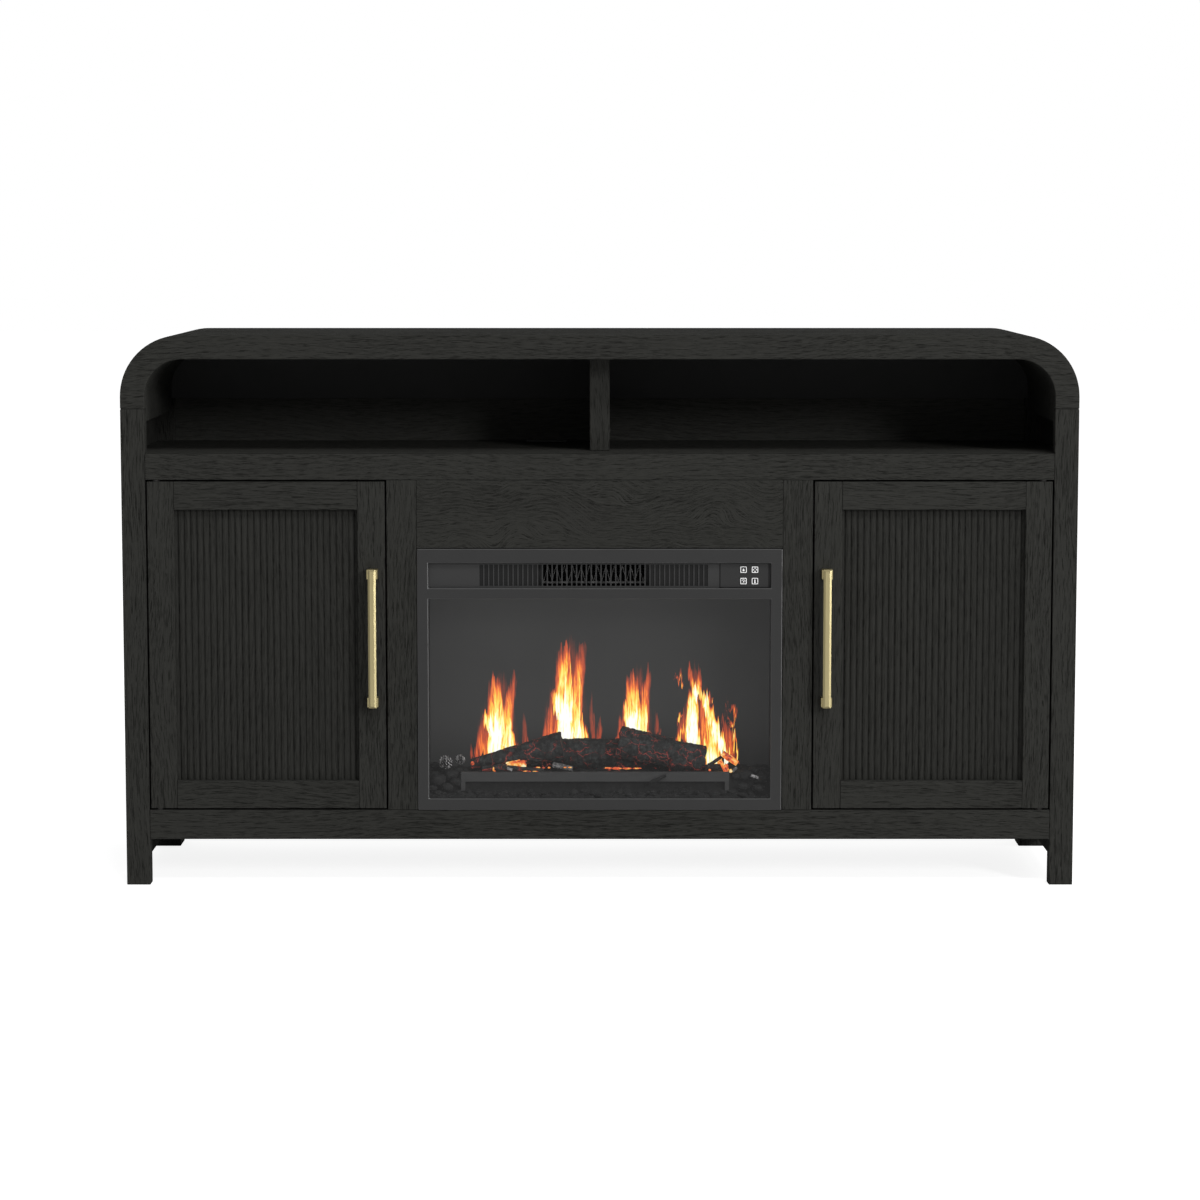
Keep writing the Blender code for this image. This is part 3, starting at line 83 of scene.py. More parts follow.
class Graph:
    """A material with a Principled shader, and short calls for the nodes that feed it."""

    def __init__(self, name, **inputs):
        self.material = bpy.data.materials.new(name)
        self.material.use_nodes = True
        self.tree = self.material.node_tree
        self.shader = self.tree.nodes["Principled BSDF"]
        self.feed(**inputs)

    def feed(self, **inputs):
        """Sets or links inputs of the shader, by names with _ for each space."""
        for key, value in inputs.items():
            set_input(self.tree, self.shader, key.replace("_", " "), value)

    def math(self, operation, *values):
        return math_node(self.tree, operation, *values)

    def add(self, *values):
        return functools.reduce(functools.partial(self.math, "ADD"), values)

    def times(self, a, b):
        return self.math("MULTIPLY", a, b)

    def less(self, a, b):
        """The first without the second."""
        return self.math("SUBTRACT", a, b)

    def vector(self, x, y, z):
        return make_node(self.tree, "ShaderNodeCombineXYZ", {0: x, 1: y, 2: z})

    def split(self, vector):
        node = self.tree.nodes.new("ShaderNodeSeparateXYZ")
        set_input(self.tree, node, 0, vector)
        return tuple(node.outputs)

    def place(self):
        """A point's place at rest, in metres in the frame, as each object sits at the origin."""
        return make_node(self.tree, "ShaderNodeTexCoord", {}, "Object")

    def facing(self):
        """The way that the surface faces at rest."""
        return make_node(self.tree, "ShaderNodeTexCoord", {}, "Normal")

    def noise(self, vector, scale, detail, roughness=0.5):
        inputs = {"Vector": vector, "Scale": scale, "Detail": detail, "Roughness": roughness}
        return make_node(self.tree, "ShaderNodeTexNoise", inputs)

    def streaks(self, *parts, detail=1.0, roughness=0.5):
        """Noise at a point whose parts are each a value with its scale, or a plain number."""
        scaled = [self.times(*part) if isinstance(part, tuple) else part for part in parts]
        return self.noise(self.vector(*scaled), 1.0, detail, roughness)

    def cracks(self, vector, scale):
        """The distance to the nearest edge between cells."""
        inputs = {"Vector": vector, "Scale": scale}
        kind = "ShaderNodeTexVoronoi"
        return make_node(self.tree, kind, inputs, "Distance", feature="DISTANCE_TO_EDGE")

    def smooth(self, value, low, high, start=0.0, end=1.0):
        """A smooth step from start to end, while the value goes from low to high."""
        inputs = {"Value": value, "From Min": low, "From Max": high, "To Min": start, "To Max": end}
        kind = "ShaderNodeMapRange"
        return make_node(self.tree, kind, inputs, interpolation_type="SMOOTHSTEP")

    def mix(self, share, first, second, blend="MIX"):
        inputs = {MIX_SHARE: share, MIX_FIRST: first, MIX_SECOND: second}
        kind = "ShaderNodeMix"
        return make_node(self.tree, kind, inputs, MIX_RESULT, data_type="RGBA", blend_type=blend)

    def ramp(self, value, stops):
        """The colour at a value, from stops that are each a position and a colour."""
        node = self.tree.nodes.new("ShaderNodeValToRGB")
        set_input(self.tree, node, 0, value)
        elements = node.color_ramp.elements
        while len(elements) < len(stops):
            elements.new(0.5)
        for element, (position, colour) in zip(elements, stops):
            element.position = position
            element.color = (*colour, 1.0)
        return node.outputs[0]

    def bump(self, height, distance, strength):
        """Tilts the shader's normal by a height, in units of a distance."""
        inputs = {"Strength": strength, "Distance": distance, "Height": height}
        self.feed(Normal=make_node(self.tree, "ShaderNodeBump", inputs))


def rgb(r, g, b):
    """A colour for a socket, from linear values."""
    return (r, g, b, 1.0)


def grey(value):
    return rgb(value, value, value)


def shade(colour, share):
    """A colour for a socket, darker or lighter than one by some share."""
    return rgb(*(c * share for c in colour))


def paint(node, material):
    """Gives a carried-over node its material."""
    for slot in NODES[node].material_slots:
        slot.material = material


# Wood

OAK_CLEAR = (0.0262, 0.0262, 0.0240)
OAK_PORE = (0.0068, 0.0068, 0.0062)
GRAIN_LINES = 112.0  # in a metre across the grain
OAK_RELIEF = 0.25 * MM

# For each board, the axis of its grain and a shift of its figure. The right one of a pair has
# one more.
BOARDS = {
    "top_rail": ("X", 0.0), "bottom_rail": ("X", 1.3), "centre_panel": ("X", 2.9),
    "media_shelf": ("X", 4.1), "lower_back": ("X", 6.4), "bottom_board": ("X", 7.7),
    "left_centre_stile": ("Z", 8.3), "right_centre_stile": ("Z", 9.6),
    "cubby_divider": ("Z", 10.2),
}
PAIRED_BOARDS = {
    "front_post": ("Z", 11.5), "rear_post": ("Z", 14.5), "side_panel": ("Z", 17.5),
    "partition": ("Z", 20.5), "loose_shelf": ("X", 23.5), "door_latch_stile": ("Z", 26.5),
    "door_hinge_stile": ("Z", 29.5), "door_top_rail": ("X", 32.5),
    "door_bottom_rail": ("X", 35.5), "door_panel": ("Z", 38.5),
}
TOP_SHIFT = 44.0
# How much lighter or darker each of these boards is drawn than the rest. For the media shelf, the
# lower back and the side panels, the lighter tone is painted light, in place of light falling into
# the open compartments.
TONES_AND_PAINTED_LIGHT = {
    "media_shelf": 1.32, "lower_back": 1.30, "cubby_divider": 1.05,
    "left_side_panel": 1.10, "right_side_panel": 1.10,
    "left_door_panel": 0.90, "right_door_panel": 0.88,
}
# How dark the pores are, and how far and how fast the grain's lines wander.
PORES = 0.80
FAINT_PORES = 0.45
STRAIGHT = (9.0, 1.0)
FIGURED = (16.0, 3.0)


def oak(name, grain, shift, tone=1.0, pores=PORES, wander=STRAIGHT):
    """Black stained oak, with open pores in dashes that follow the grain's lines.

    The grain runs along X or Z, or is bent round the top.
    """
    g = Graph(name, Specular_IOR_Level=0.001)
    x, y, z = g.split(g.place())
    if grain == "bent":
        along, across, through = bent_grain(g, x, y, z)
    else:
        along, across, through = {"X": (x, z, y), "Z": (z, x, y)}[grain]
    along = g.add(along, shift)
    reach, pace = wander
    slow = g.streaks((along, 2.4 * pace), (across, 3.2 * pace), (through, 3.2))
    section = g.times(g.add(across, through), GRAIN_LINES)
    lines = g.add(section, g.times(slow, reach), shift * 3.7)
    line = g.math("PINGPONG", lines, 0.5)
    dash = g.streaks((along, 50.0), (lines, 11.5), shift, detail=2.0, roughness=0.55)
    thread = g.streaks((along, 42.0), (across, 900.0), (through, 900.0))
    patch = g.streaks((along, 5.0), (across, 14.0), (through, 14.0))
    dash = g.add(dash, g.times(line, 0.18), g.times(patch, 0.16))
    pore = g.times(g.smooth(dash, 0.645, 0.715), g.smooth(thread, 0.36, 0.54))
    fibre = g.streaks((along, 26.0), (lines, 14.0), shift, detail=2.0, roughness=0.6)
    # The tone scales the board's colours; on the boards of the open compartments it is painted
    # light.
    dark = shade(OAK_CLEAR, tone * 0.84)
    light = shade(OAK_CLEAR, tone * 1.14)
    base = g.mix(g.smooth(fibre, 0.3, 0.7), dark, light)
    g.feed(Base_Color=g.mix(g.times(pore, pores), base, shade(OAK_PORE, tone)))
    g.feed(Roughness=g.add(g.times(pore, 0.16), g.times(fibre, 0.12), 0.6))
    g.bump(g.less(g.times(fibre, 0.18), pore), OAK_RELIEF, 0.8)
    return g.material


def bent_grain(g, x, y, z):
    """The grain of the bent top: straight on its front and back, round the bends elsewhere."""
    flat_half = 664 * MM
    centre_height = 786 * MM
    radius = 98 * MM
    top = 884 * MM
    front = -184 * MM
    beyond = g.math("MAXIMUM", g.less(g.math("ABSOLUTE", x), flat_half), 0.0)
    above = g.less(z, centre_height)
    angle = g.math("ARCTAN2", beyond, g.math("MAXIMUM", above, 0.0001))
    below = g.math("MAXIMUM", g.times(above, -1.0), 0.0)
    straight = g.math("MINIMUM", g.math("ABSOLUTE", x), flat_half)
    length = g.add(straight, g.times(angle, radius), below)
    round_the_bend = g.times(length, g.math("SIGN", x))
    _, normal_y, _ = g.split(g.facing())
    on_front = g.math("GREATER_THAN", g.math("ABSOLUTE", normal_y), 0.5)
    on_bend = g.less(1.0, on_front)
    along = g.add(g.times(x, on_front), g.times(round_the_bend, on_bend))
    across = g.add(g.times(z, on_front), g.times(on_bend, top))
    through = g.add(g.times(on_front, front), g.times(y, on_bend))
    return along, across, through


def dress_wood():
    boards = dict(BOARDS)
    for i, side in enumerate(SIDES):
        for name, (grain, shift) in PAIRED_BOARDS.items():
            boards[f"{side}_{name}"] = (grain, shift + i)
    for name, (grain, shift) in boards.items():
        pores = FAINT_PORES if name.endswith(("door_panel", "lower_back")) else PORES
        wander = FIGURED if name == "centre_panel" else STRAIGHT
        paint(name, oak(f"oak_{name}", grain, shift, TONES_AND_PAINTED_LIGHT.get(name, 1.0), pores, wander))
    paint("top_shell", oak("oak_top_shell", "bent", TOP_SHIFT))
    paint("upper_back", powder_coat("back_board_paint", 0.031, 0.7, grain=0.05, sheen=0.02))


# Metal, plastic and glass

SPECK = 1500.0  # the scale of a fine even texture


def brushed(name, colour, roughness, axis):
    """Metal with fine brush lines along one axis."""
    g = Graph(name, Metallic=1.0)
    scales = {"X": (9.0, 1900.0, 1900.0), "Z": (1900.0, 1900.0, 9.0)}[axis]
    parts = zip(g.split(g.place()), scales)
    lines = g.streaks(*parts, detail=2.0, roughness=0.6)
    cloud = g.noise(g.place(), 38.0, 2.0)
    share = g.add(g.times(lines, 0.7), g.times(cloud, 0.3))
    g.feed(Base_Color=g.mix(share, shade(colour, 0.86), shade(colour, 1.1)))
    g.feed(Roughness=g.add(roughness, g.times(lines, 0.14), g.times(cloud, 0.05)))
    g.bump(lines, 0.03 * MM, 0.5)
    return g.material


def speck_and_cloud(g):
    """The fine texture of paint or plastic, its slow clouds, and an even mix of the two."""
    speck = g.noise(g.place(), SPECK, 1.0)
    cloud = g.noise(g.place(), 22.0, 3.0)
    return speck, cloud, g.add(g.times(speck, 0.5), g.times(cloud, 0.5))


def powder_coat(name, tone, roughness, grain=0.06, sheen=0.14, wear_and_highlight=0.0):
    """Grey sprayed paint or moulded plastic with a fine even texture, whose grain is in mm.

    Chamfers in front get a painted highlight: where the share is above 0, they are paler by about
    that share, as if they caught the light.
    """
    g = Graph(name, Specular_IOR_Level=sheen)
    speck, cloud, share = speck_and_cloud(g)
    tint = g.mix(share, grey(tone * 0.88), grey(tone * 1.12))
    if wear_and_highlight:
        # Painted highlight: chamfers facing the front are made paler, a little unevenly, in place
        # of the light that they would catch.
        _, normal_y, _ = g.split(g.facing())
        slope = g.math("ABSOLUTE", normal_y)
        chamfer = g.times(g.smooth(slope, 0.30, 0.50), g.smooth(slope, 0.90, 0.97, 1.0, 0.0))
        painted_highlight = g.times(chamfer, g.smooth(cloud, 0.30, 0.55, 0.75, 1.0))
        tint = g.mix(painted_highlight, tint, grey(tone * (1.0 + wear_and_highlight)))
    g.feed(Base_Color=tint, Roughness=g.add(roughness, g.times(cloud, 0.08)))
    g.bump(speck, grain * MM, 0.6)
    return g.material


def control_plastic():
    """Moulded plastic, with a groove bumped in round its edge, and painted shade that makes the
    groove near black, like the shadow in the gap round the plate.
    """
    seam_shade_inside, seam_shade_outside = 0.9 * MM, 1.3 * MM
    low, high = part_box("control_plate")
    g = Graph("control_plastic", Specular_IOR_Level=0.14)
    x, _, z = g.split(g.place())
    speck, cloud, share = speck_and_cloud(g)
    across = g.math("MINIMUM", g.less(x, low.x), g.less(high.x, x))
    up = g.math("MINIMUM", g.less(z, low.z), g.less(high.z, z))
    # Painted shade: a thin band round the plate's edge is made near black, in place of the shadow
    # in the gap round it.
    seam_shade = g.smooth(g.math("MINIMUM", across, up), seam_shade_inside, seam_shade_outside, 1.0, 0.0)
    tint = g.mix(share, grey(0.0185), grey(0.024))
    g.feed(Base_Color=g.mix(seam_shade, tint, grey(0.004)))
    g.feed(Roughness=g.add(0.4, g.times(cloud, 0.08)))
    g.bump(g.less(g.times(speck, 0.1), seam_shade), 0.1 * MM, 0.6)
    return g.material


def grille_paint():
    """The bezel's paint, with painted shade on the plates behind the outer slots: they are made
    near black, as the shadow inside the vent would make them.
    """
    plates_from, plates_to = -177.0 * MM, -176.4 * MM
    g = Graph("grille_paint", Specular_IOR_Level=0.14, Roughness=0.5)
    _, y, _ = g.split(g.place())
    speck = g.noise(g.place(), SPECK, 1.0)
    # Painted shade: the plates behind the slots are near black, in place of the shadow deep in the
    # vent.
    behind = g.smooth(y, plates_from, plates_to)
    face = g.mix(speck, grey(0.024), grey(0.031))
    back = g.mix(speck, grey(0.004), grey(0.006))
    g.feed(Base_Color=g.mix(behind, face, back))
    g.bump(speck, 0.06 * MM, 0.6)
    return g.material


def heater_ribbon():
    """Bare resistance ribbon, dulled by heat, between dark ceramic posts."""
    left_of_centre = 10 * MM
    ribbon_end, post_start = 81.6 * MM, 82.2 * MM
    g = Graph("heater_ribbon", Specular_IOR_Level=0.3)
    x, _, _ = g.split(g.place())
    from_middle = g.math("ABSOLUTE", g.add(x, left_of_centre))
    metal = g.smooth(from_middle, ribbon_end, post_start, 1.0, 0.0)
    cloud = g.noise(g.place(), 160.0, 3.0)
    wire = g.mix(g.smooth(cloud, 0.3, 0.7), grey(0.022), rgb(0.150, 0.148, 0.146))
    g.feed(Base_Color=g.mix(metal, grey(0.01), wire), Metallic=g.times(metal, 0.9))
    g.feed(Roughness=g.add(0.42, g.times(cloud, 0.2)))
    g.bump(cloud, 0.1 * MM, 0.5)
    return g.material


def fire_glass():
    """Clear glass with faint dust on it, and a painted glow all over that stands in for the pale
    veil of light on the pane.
    """
    # Painted light: the emission is a glow over the whole pane, which is no lamp, in place of the
    # veil of light that the pane shows.
    g = Graph("fire_glass", Base_Color=grey(0.0), Specular_IOR_Level=0.0, Emission_Strength=0.160)
    dust_and_glow = g.noise(g.place(), 9.0, 4.0, 0.6)
    g.feed(Emission_Color=g.mix(dust_and_glow, grey(0.93), grey(1.0)))
    g.feed(Alpha=g.smooth(dust_and_glow, 0.2, 0.8, 0.057, 0.063))
    g.feed(Roughness=g.smooth(dust_and_glow, 0.2, 0.8, 0.04, 0.10))
    return g.material


def dress_hardware():
    brass = brushed("brass_brushed", (0.300, 0.257, 0.138), 0.26, "Z")
    steel = brushed("zinc_steel", (0.55, 0.55, 0.56), 0.3, "X")
    blackened = brushed("blackened_steel", (0.030, 0.029, 0.028), 0.5, "X")
    black = powder_coat("black_plastic", 0.02, 0.45, grain=0.03)
    for side in SIDES:
        paint(f"{side}_door_pull", brass)
        paint(f"{side}_door_strike", steel)
        paint(f"{side}_catch", black)
        paint(f"{side}_pivot_bottom", blackened)
        paint(f"{side}_pivot_top", blackened)
        for row in ("top", "bottom"):
            key = f"key_{row}_{side}"
            paint(key, powder_coat(f"{key}_plastic", 0.05, 0.4, grain=0.02))
    for node in ("cable_cover", "rotor_motor", "blower_motor", "blower_wheel"):
        paint(node, black)
    paint("flame_rotor", steel)
    paint("fire_case", powder_coat("casing_paint", 0.02, 0.55))
    paint("grate", powder_coat("grate_paint", 0.033, 0.6, grain=0.2))
    # The bezel's chamfers get a painted highlight.
    paint("bezel", powder_coat("bezel_paint", 0.0125, 0.32, grain=0.02, sheen=0.27, wear_and_highlight=3.0))
    paint("control_plate", control_plastic())
    paint("vent_grille", grille_paint())
    paint("heater_element", heater_ribbon())
    paint("glass", fire_glass())
    paint("flame_screen", flame_screen())


# Flames, as light on the screen behind the logs

# One stroke of a flame: its foot and tip across and up, its bow, its half width at the foot, its
# taper and its heat. The first rows are in units of 1/840 of a flame's height, and of its width
# drawn to the same scale.
FLAME_STROKES = (
    (-4, -80, 6, 410, 0, 86, 0.36, 2.90),
    (-44, 230, -90, 490, -8, 44, 0.14, 1.60),
    (-2, 150, -14, 915, 0, 84, 0.20, 1.16),
    (60, 180, 45, 700, 6, 24, 0.50, 0.50),
    (98, 40, 158, 940, -18, 60, 0.16, 0.82),
    (128, 100, 122, 540, 0, 14, 0.50, 0.70),
    (92, -60, 100, 330, 0, 44, 0.40, 0.80),
    (-132, -60, -100, 450, -12, 46, 0.28, 0.42),
    (-96, -60, -70, 330, 0, 34, 0.45, 0.40),
    (-180, -60, -164, 220, 0, 18, 0.40, 0.38),
    (130, -60, 150, 190, 6, 52, 0.28, 1.75),
    (185, -60, 192, 70, 0, 20, 0.45, 0.80),
    (20, 350, 60, 960, 0, 130, 0.40, 0.17),
    (0, -60, 40, 990, 0, 240, 0.60, 0.13),
)
# The three flames of this kind: the foot's middle across and up, and the units of width and
# height, in metres.
FLAMES = (
    (-0.1699, 0.1984, 0.000185, 0.0001350),
    (-0.0569, 0.2185, 0.000191, 0.0001695),
    (0.0556, 0.2084, 0.000158, 0.0001325),
)
# Where the first flame's part of the screen ends, and where the third's begins.
FOLDS = (-0.1145, 0.0050)

# The flame at the right end, in metres: foot, tip, bow, half width, taper and heat.
RIGHT_STROKES = (
    (0.1596, 0.1960, 0.1568, 0.3060, -0.0075, 0.0136, 0.36, 2.80),
    (0.2065, 0.1830, 0.1620, 0.3040, 0.0035, 0.0102, 0.28, 2.00),
    (0.1850, 0.1760, 0.1650, 0.2960, 0.0010, 0.0165, 0.35, 0.78),
    (0.1900, 0.1700, 0.1830, 0.2480, 0.0010, 0.0110, 0.40, 0.80),
    (0.1796, 0.1681, 0.1727, 0.2262, 0.0019, 0.0080, 0.45, 1.05),
    (0.1590, 0.2880, 0.1466, 0.3470, -0.0027, 0.0066, 0.45, 0.80),
    (0.1600, 0.2880, 0.1630, 0.3440, 0.0019, 0.0064, 0.45, 0.66),
    (0.1600, 0.2880, 0.1560, 0.3400, 0.0000, 0.0100, 0.50, 0.24),
    (0.1716, 0.2720, 0.1811, 0.2985, 0.0019, 0.0046, 0.50, 0.80),
    (0.1291, 0.2426, 0.1366, 0.2690, -0.0031, 0.0028, 0.50, 1.05),
    (0.1249, 0.2175, 0.1424, 0.2426, 0.0038, 0.0084, 0.40, 0.50),
    (0.2240, 0.1830, 0.2090, 0.2500, 0.0072, 0.0018, 0.30, 1.15),
    (0.2140, 0.1900, 0.2000, 0.2560, 0.0040, 0.0110, 0.45, 0.50),
    (0.2190, 0.2050, 0.2040, 0.2700, 0.0060, 0.0018, 0.35, 0.75),
    (0.2237, 0.1730, 0.2016, 0.1960, 0.0027, 0.0080, 0.40, 0.66),
    (0.1365, 0.3080, 0.1220, 0.3240, 0.0011, 0.0034, 0.35, 0.62),
    (0.1323, 0.3110, 0.1315, 0.3330, 0.0000, 0.0048, 0.50, 0.34),
    (0.2208, 0.2571, 0.2070, 0.2800, 0.0050, 0.0042, 0.40, 0.60),
    (0.2205, 0.2440, 0.2193, 0.2520, 0.0000, 0.0020, 0.40, 0.90),
    (0.1848, 0.2785, 0.1836, 0.2865, 0.0000, 0.0018, 0.40, 0.90),
    (0.1340, 0.2120, 0.1390, 0.2720, -0.0019, 0.0090, 0.50, 0.40),
    (0.1728, 0.1860, 0.1610, 0.3150, 0.0000, 0.0520, 0.60, 0.10),
)
# Faint wisps and the low fire under the logs, in the same units as the right flame.
LOW_STROKES = (
    (-0.1239, 0.2146, -0.1251, 0.2610, 0.0015, 0.0057, 0.60, 0.24),
    (-0.1178, 0.2146, -0.1181, 0.2247, 0.0000, 0.0025, 0.50, 0.36),
    (-0.0090, 0.2146, -0.0125, 0.2957, -0.0023, 0.0065, 0.60, 0.26),
    (-0.0022, 0.2146, -0.0010, 0.2571, 0.0019, 0.0061, 0.60, 0.36),
    (-0.2092, 0.1856, -0.2108, 0.2030, 0.0008, 0.0042, 0.50, 0.32),
    (-0.1384, 0.1652, -0.1450, 0.1933, 0.0000, 0.0138, 0.35, 1.25),
    (-0.1240, 0.1652, -0.1262, 0.1933, 0.0000, 0.0111, 0.35, 0.50),
    (0.0939, 0.2223, 0.0919, 0.2668, 0.0015, 0.0057, 0.60, 0.24),
    (0.0994, 0.2223, 0.0992, 0.2335, 0.0000, 0.0025, 0.50, 0.34),
)
STROKE_INPUTS = ("x", "z", "foot x", "foot z", "lean", "height", "bow", "width", "taper", "heat")

# The colour of the light at each heat, as a share of the highest.
FIRE_COLOURS = (
    (0.0, (0.0, 0.0, 0.0)),
    (0.04, (0.045, 0.006, 0.002)),
    (0.10, (0.21, 0.023, 0.004)),
    (0.17, (0.44, 0.050, 0.009)),
    (0.24, (0.72, 0.115, 0.015)),
    (0.31, (0.96, 0.21, 0.020)),
    (0.39, (1.0, 0.40, 0.035)),
    (0.48, (1.0, 0.68, 0.07)),
    (0.62, (1.0, 0.94, 0.27)),
    (0.80, (1.0, 1.0, 0.62)),
    (1.0, (1.0, 1.0, 0.96)),
)
HIGHEST_HEAT = 2.0
SCREEN_STRENGTH = 1.15
# How far the flames' edges and tips waver, in metres.
SLOW_SWAY = 0.008
QUICK_SWAY = 0.0036
RAGGED_LIFT = 0.075


def stroke_group():
    """A group of nodes for the heat that one stroke gives to a point of the screen."""
    tree = bpy.data.node_groups.new("flame_stroke", "ShaderNodeTree")
    for name in STROKE_INPUTS:
        tree.interface.new_socket(name, in_out="INPUT", socket_type="NodeSocketFloat")
    tree.interface.new_socket("heat", in_out="OUTPUT", socket_type="NodeSocketFloat")
    given = tree.nodes.new("NodeGroupInput").outputs[:len(STROKE_INPUTS)]
    x, z, foot_x, foot_z, lean, height, bend, width, taper, heat = given
    step = functools.partial(math_node, tree)

    rise = step("DIVIDE", step("SUBTRACT", z, foot_z), height)
    inside = step("MULTIPLY", step("GREATER_THAN", rise, 0.0), step("LESS_THAN", rise, 1.0))
    rise = step("ADD", rise, 0.0, clamp=True)
    left = step("SUBTRACT", 1.0, rise)
    curve = step("MULTIPLY", step("MULTIPLY", rise, left), step("MULTIPLY", bend, 4.0))
    middle = step("ADD", step("MULTIPLY_ADD", rise, lean, foot_x), curve)
    swell = step("MULTIPLY_ADD", step("SMOOTH_MIN", rise, 0.3, 0.2), 0.70, 0.80)
    half = step("MULTIPLY", step("MULTIPLY", step("POWER", left, taper), swell), width)
    reach = step("DIVIDE", step("SUBTRACT", x, middle), step("MAXIMUM", half, 0.00001))
    body = step("SUBTRACT", 1.0, step("MULTIPLY", reach, reach), clamp=True)
    body = step("POWER", body, 0.75)
    fade = step("MULTIPLY_ADD", step("MULTIPLY", rise, rise), -0.80, 1.0)
    total = step("MULTIPLY", step("MULTIPLY", body, fade), step("MULTIPLY", heat, inside))
    set_input(tree, tree.nodes.new("NodeGroupOutput"), 0, total)
    return tree


def flame_heat(g, x, z):
    """The heat of every flame at a point, from about 0 to 2."""
    group = stroke_group()

    def stroke_heat(at_x, at_z, row):
        foot_x, foot_z, tip_x, tip_z, *form = row
        values = (at_x, at_z, foot_x, foot_z, tip_x - foot_x, tip_z - foot_z, *form)
        return make_node(g.tree, "ShaderNodeGroup", dict(enumerate(values)), node_tree=group)

    first = g.math("LESS_THAN", x, FOLDS[0])
    third = g.math("GREATER_THAN", x, FOLDS[1])
    second = g.less(g.less(1.0, first), third)

    def here(values):
        """The value of the flame whose part of the screen the point is in."""
        return g.add(*(g.times(*pair) for pair in zip((first, second, third), values)))

    foot_x, foot_z, wide, tall = (here(column) for column in zip(*FLAMES))
    u = g.math("DIVIDE", g.less(x, foot_x), wide)
    v = g.math("DIVIDE", g.less(z, foot_z), tall)
    heats = [stroke_heat(u, v, row) for row in FLAME_STROKES]
    heats += [stroke_heat(x, z, row) for row in RIGHT_STROKES + LOW_STROKES]
    return g.add(*heats)


def flame_screen():
    """Smoked translucent screen, lit from behind by the flames."""
    g = Graph("flame_screen", Base_Color=grey(0.012), Roughness=0.5, Specular_IOR_Level=0.05)
    x, _, z = g.split(g.place())
    slow = g.streaks((x, 48.0), 0.0, (z, 17.0), detail=2.0)
    quick = g.streaks((x, 210.0), 4.0, (z, 46.0), detail=2.0, roughness=0.55)
    ragged = g.streaks((x, 260.0), 9.0, (z, 12.0), detail=2.0, roughness=0.6)
    sway = g.add(g.times(g.less(slow, 0.5), SLOW_SWAY), g.times(g.less(quick, 0.5), QUICK_SWAY))
    lift = g.times(g.less(ragged, 0.5), RAGGED_LIFT)
    swayed = g.add(x, sway)
    heat = flame_heat(g, swayed, g.add(z, lift))
    streak = g.streaks((swayed, 330.0), 2.0, (z, 26.0), detail=3.0, roughness=0.6)
    fine = g.streaks((swayed, 900.0), 6.0, (z, 40.0), detail=2.0)
    heat = g.times(heat, g.smooth(streak, 0.28, 0.66, 0.48, 1.25))
    heat = g.times(heat, g.smooth(fine, 0.3, 0.7, 0.80, 1.15))
    fire = g.ramp(g.times(heat, 1 / HIGHEST_HEAT), FIRE_COLOURS)
    wide = g.smooth(g.math("ABSOLUTE", g.add(x, 0.05)), 0.08, 0.34, 1.0, 0.60)
    tall = g.times(g.smooth(z, 0.16, 0.27, 0.45, 1.0), g.smooth(z, 0.36, 0.48, 1.0, 0.80))
    cloud = g.smooth(g.noise(g.place(), 7.0, 2.0), 0.2, 0.8, 0.93, 1.05)
    glow = g.times(g.times(wide, tall), cloud)
    veil = g.mix(glow, grey(0.0), rgb(0.0255, 0.0255, 0.025))
    light = g.mix(1.0, fire, veil, blend="ADD")
    g.feed(Emission_Color=light, Emission_Strength=SCREEN_STRENGTH)
    return g.material


# The looks of the fire bed

COAL_COLOURS = (
    (0.30, (0.007, 0.007, 0.007)),
    (0.55, (0.013, 0.013, 0.013)),
    (0.75, (0.027, 0.027, 0.027)),
)
ASH_COLOURS = (
    (0.36, (0.020, 0.019, 0.019)),
    (0.50, (0.12, 0.118, 0.118)),
    (0.64, (0.46, 0.45, 0.45)),
)
EMBER_COLOURS = (
    (0.34, (0.16, 0.012, 0.004)),
    (0.46, (0.85, 0.11, 0.02)),
    (0.56, (1.0, 0.45, 0.06)),
    (0.68, (1.0, 0.92, 0.55)),
)


def charred(name, shift):
    """Charred bark with ash on it, and fire in some of its cracks."""
    g = Graph(name, Specular_IOR_Level=0.12)
    place = g.place()
    x, y, z = g.split(place)
    bend = g.noise(place, 95.0, 3.0, 0.6)
    path = g.vector(g.add(g.times(x, 0.8), g.times(bend, 0.020), shift),
                    g.add(y, g.times(bend, 0.012)), g.add(z, g.times(bend, -0.018)))
    crack = g.smooth(g.cracks(path, 54.0), 0.006, 0.030, 1.0, 0.0)
    alive = g.smooth(g.noise(g.vector(g.add(x, shift), y, z), 46.0, 1.0), 0.38, 0.54)
    ash = g.smooth(g.noise(place, 120.0, 4.0, 0.65), 0.36, 0.80)
    fine = g.noise(place, 420.0, 3.0, 0.7)
    bark = g.mix(g.times(ash, fine), grey(0.012), rgb(0.078, 0.085, 0.084))
    bark = g.mix(g.times(crack, 0.8), bark, rgb(0.004, 0.003, 0.003))
    fire = g.times(g.times(crack, alive), g.smooth(fine, 0.25, 0.6))
    g.feed(Base_Color=bark, Roughness=g.add(0.72, g.times(fine, 0.2)))
    g.feed(Emission_Color=g.mix(fire, grey(0.0), rgb(0.40, 0.058, 0.042)), Emission_Strength=0.78)
    g.bump(g.less(g.times(fine, 0.5), g.times(crack, 1.2)), 1.2 * MM, 0.8)
    return g.material


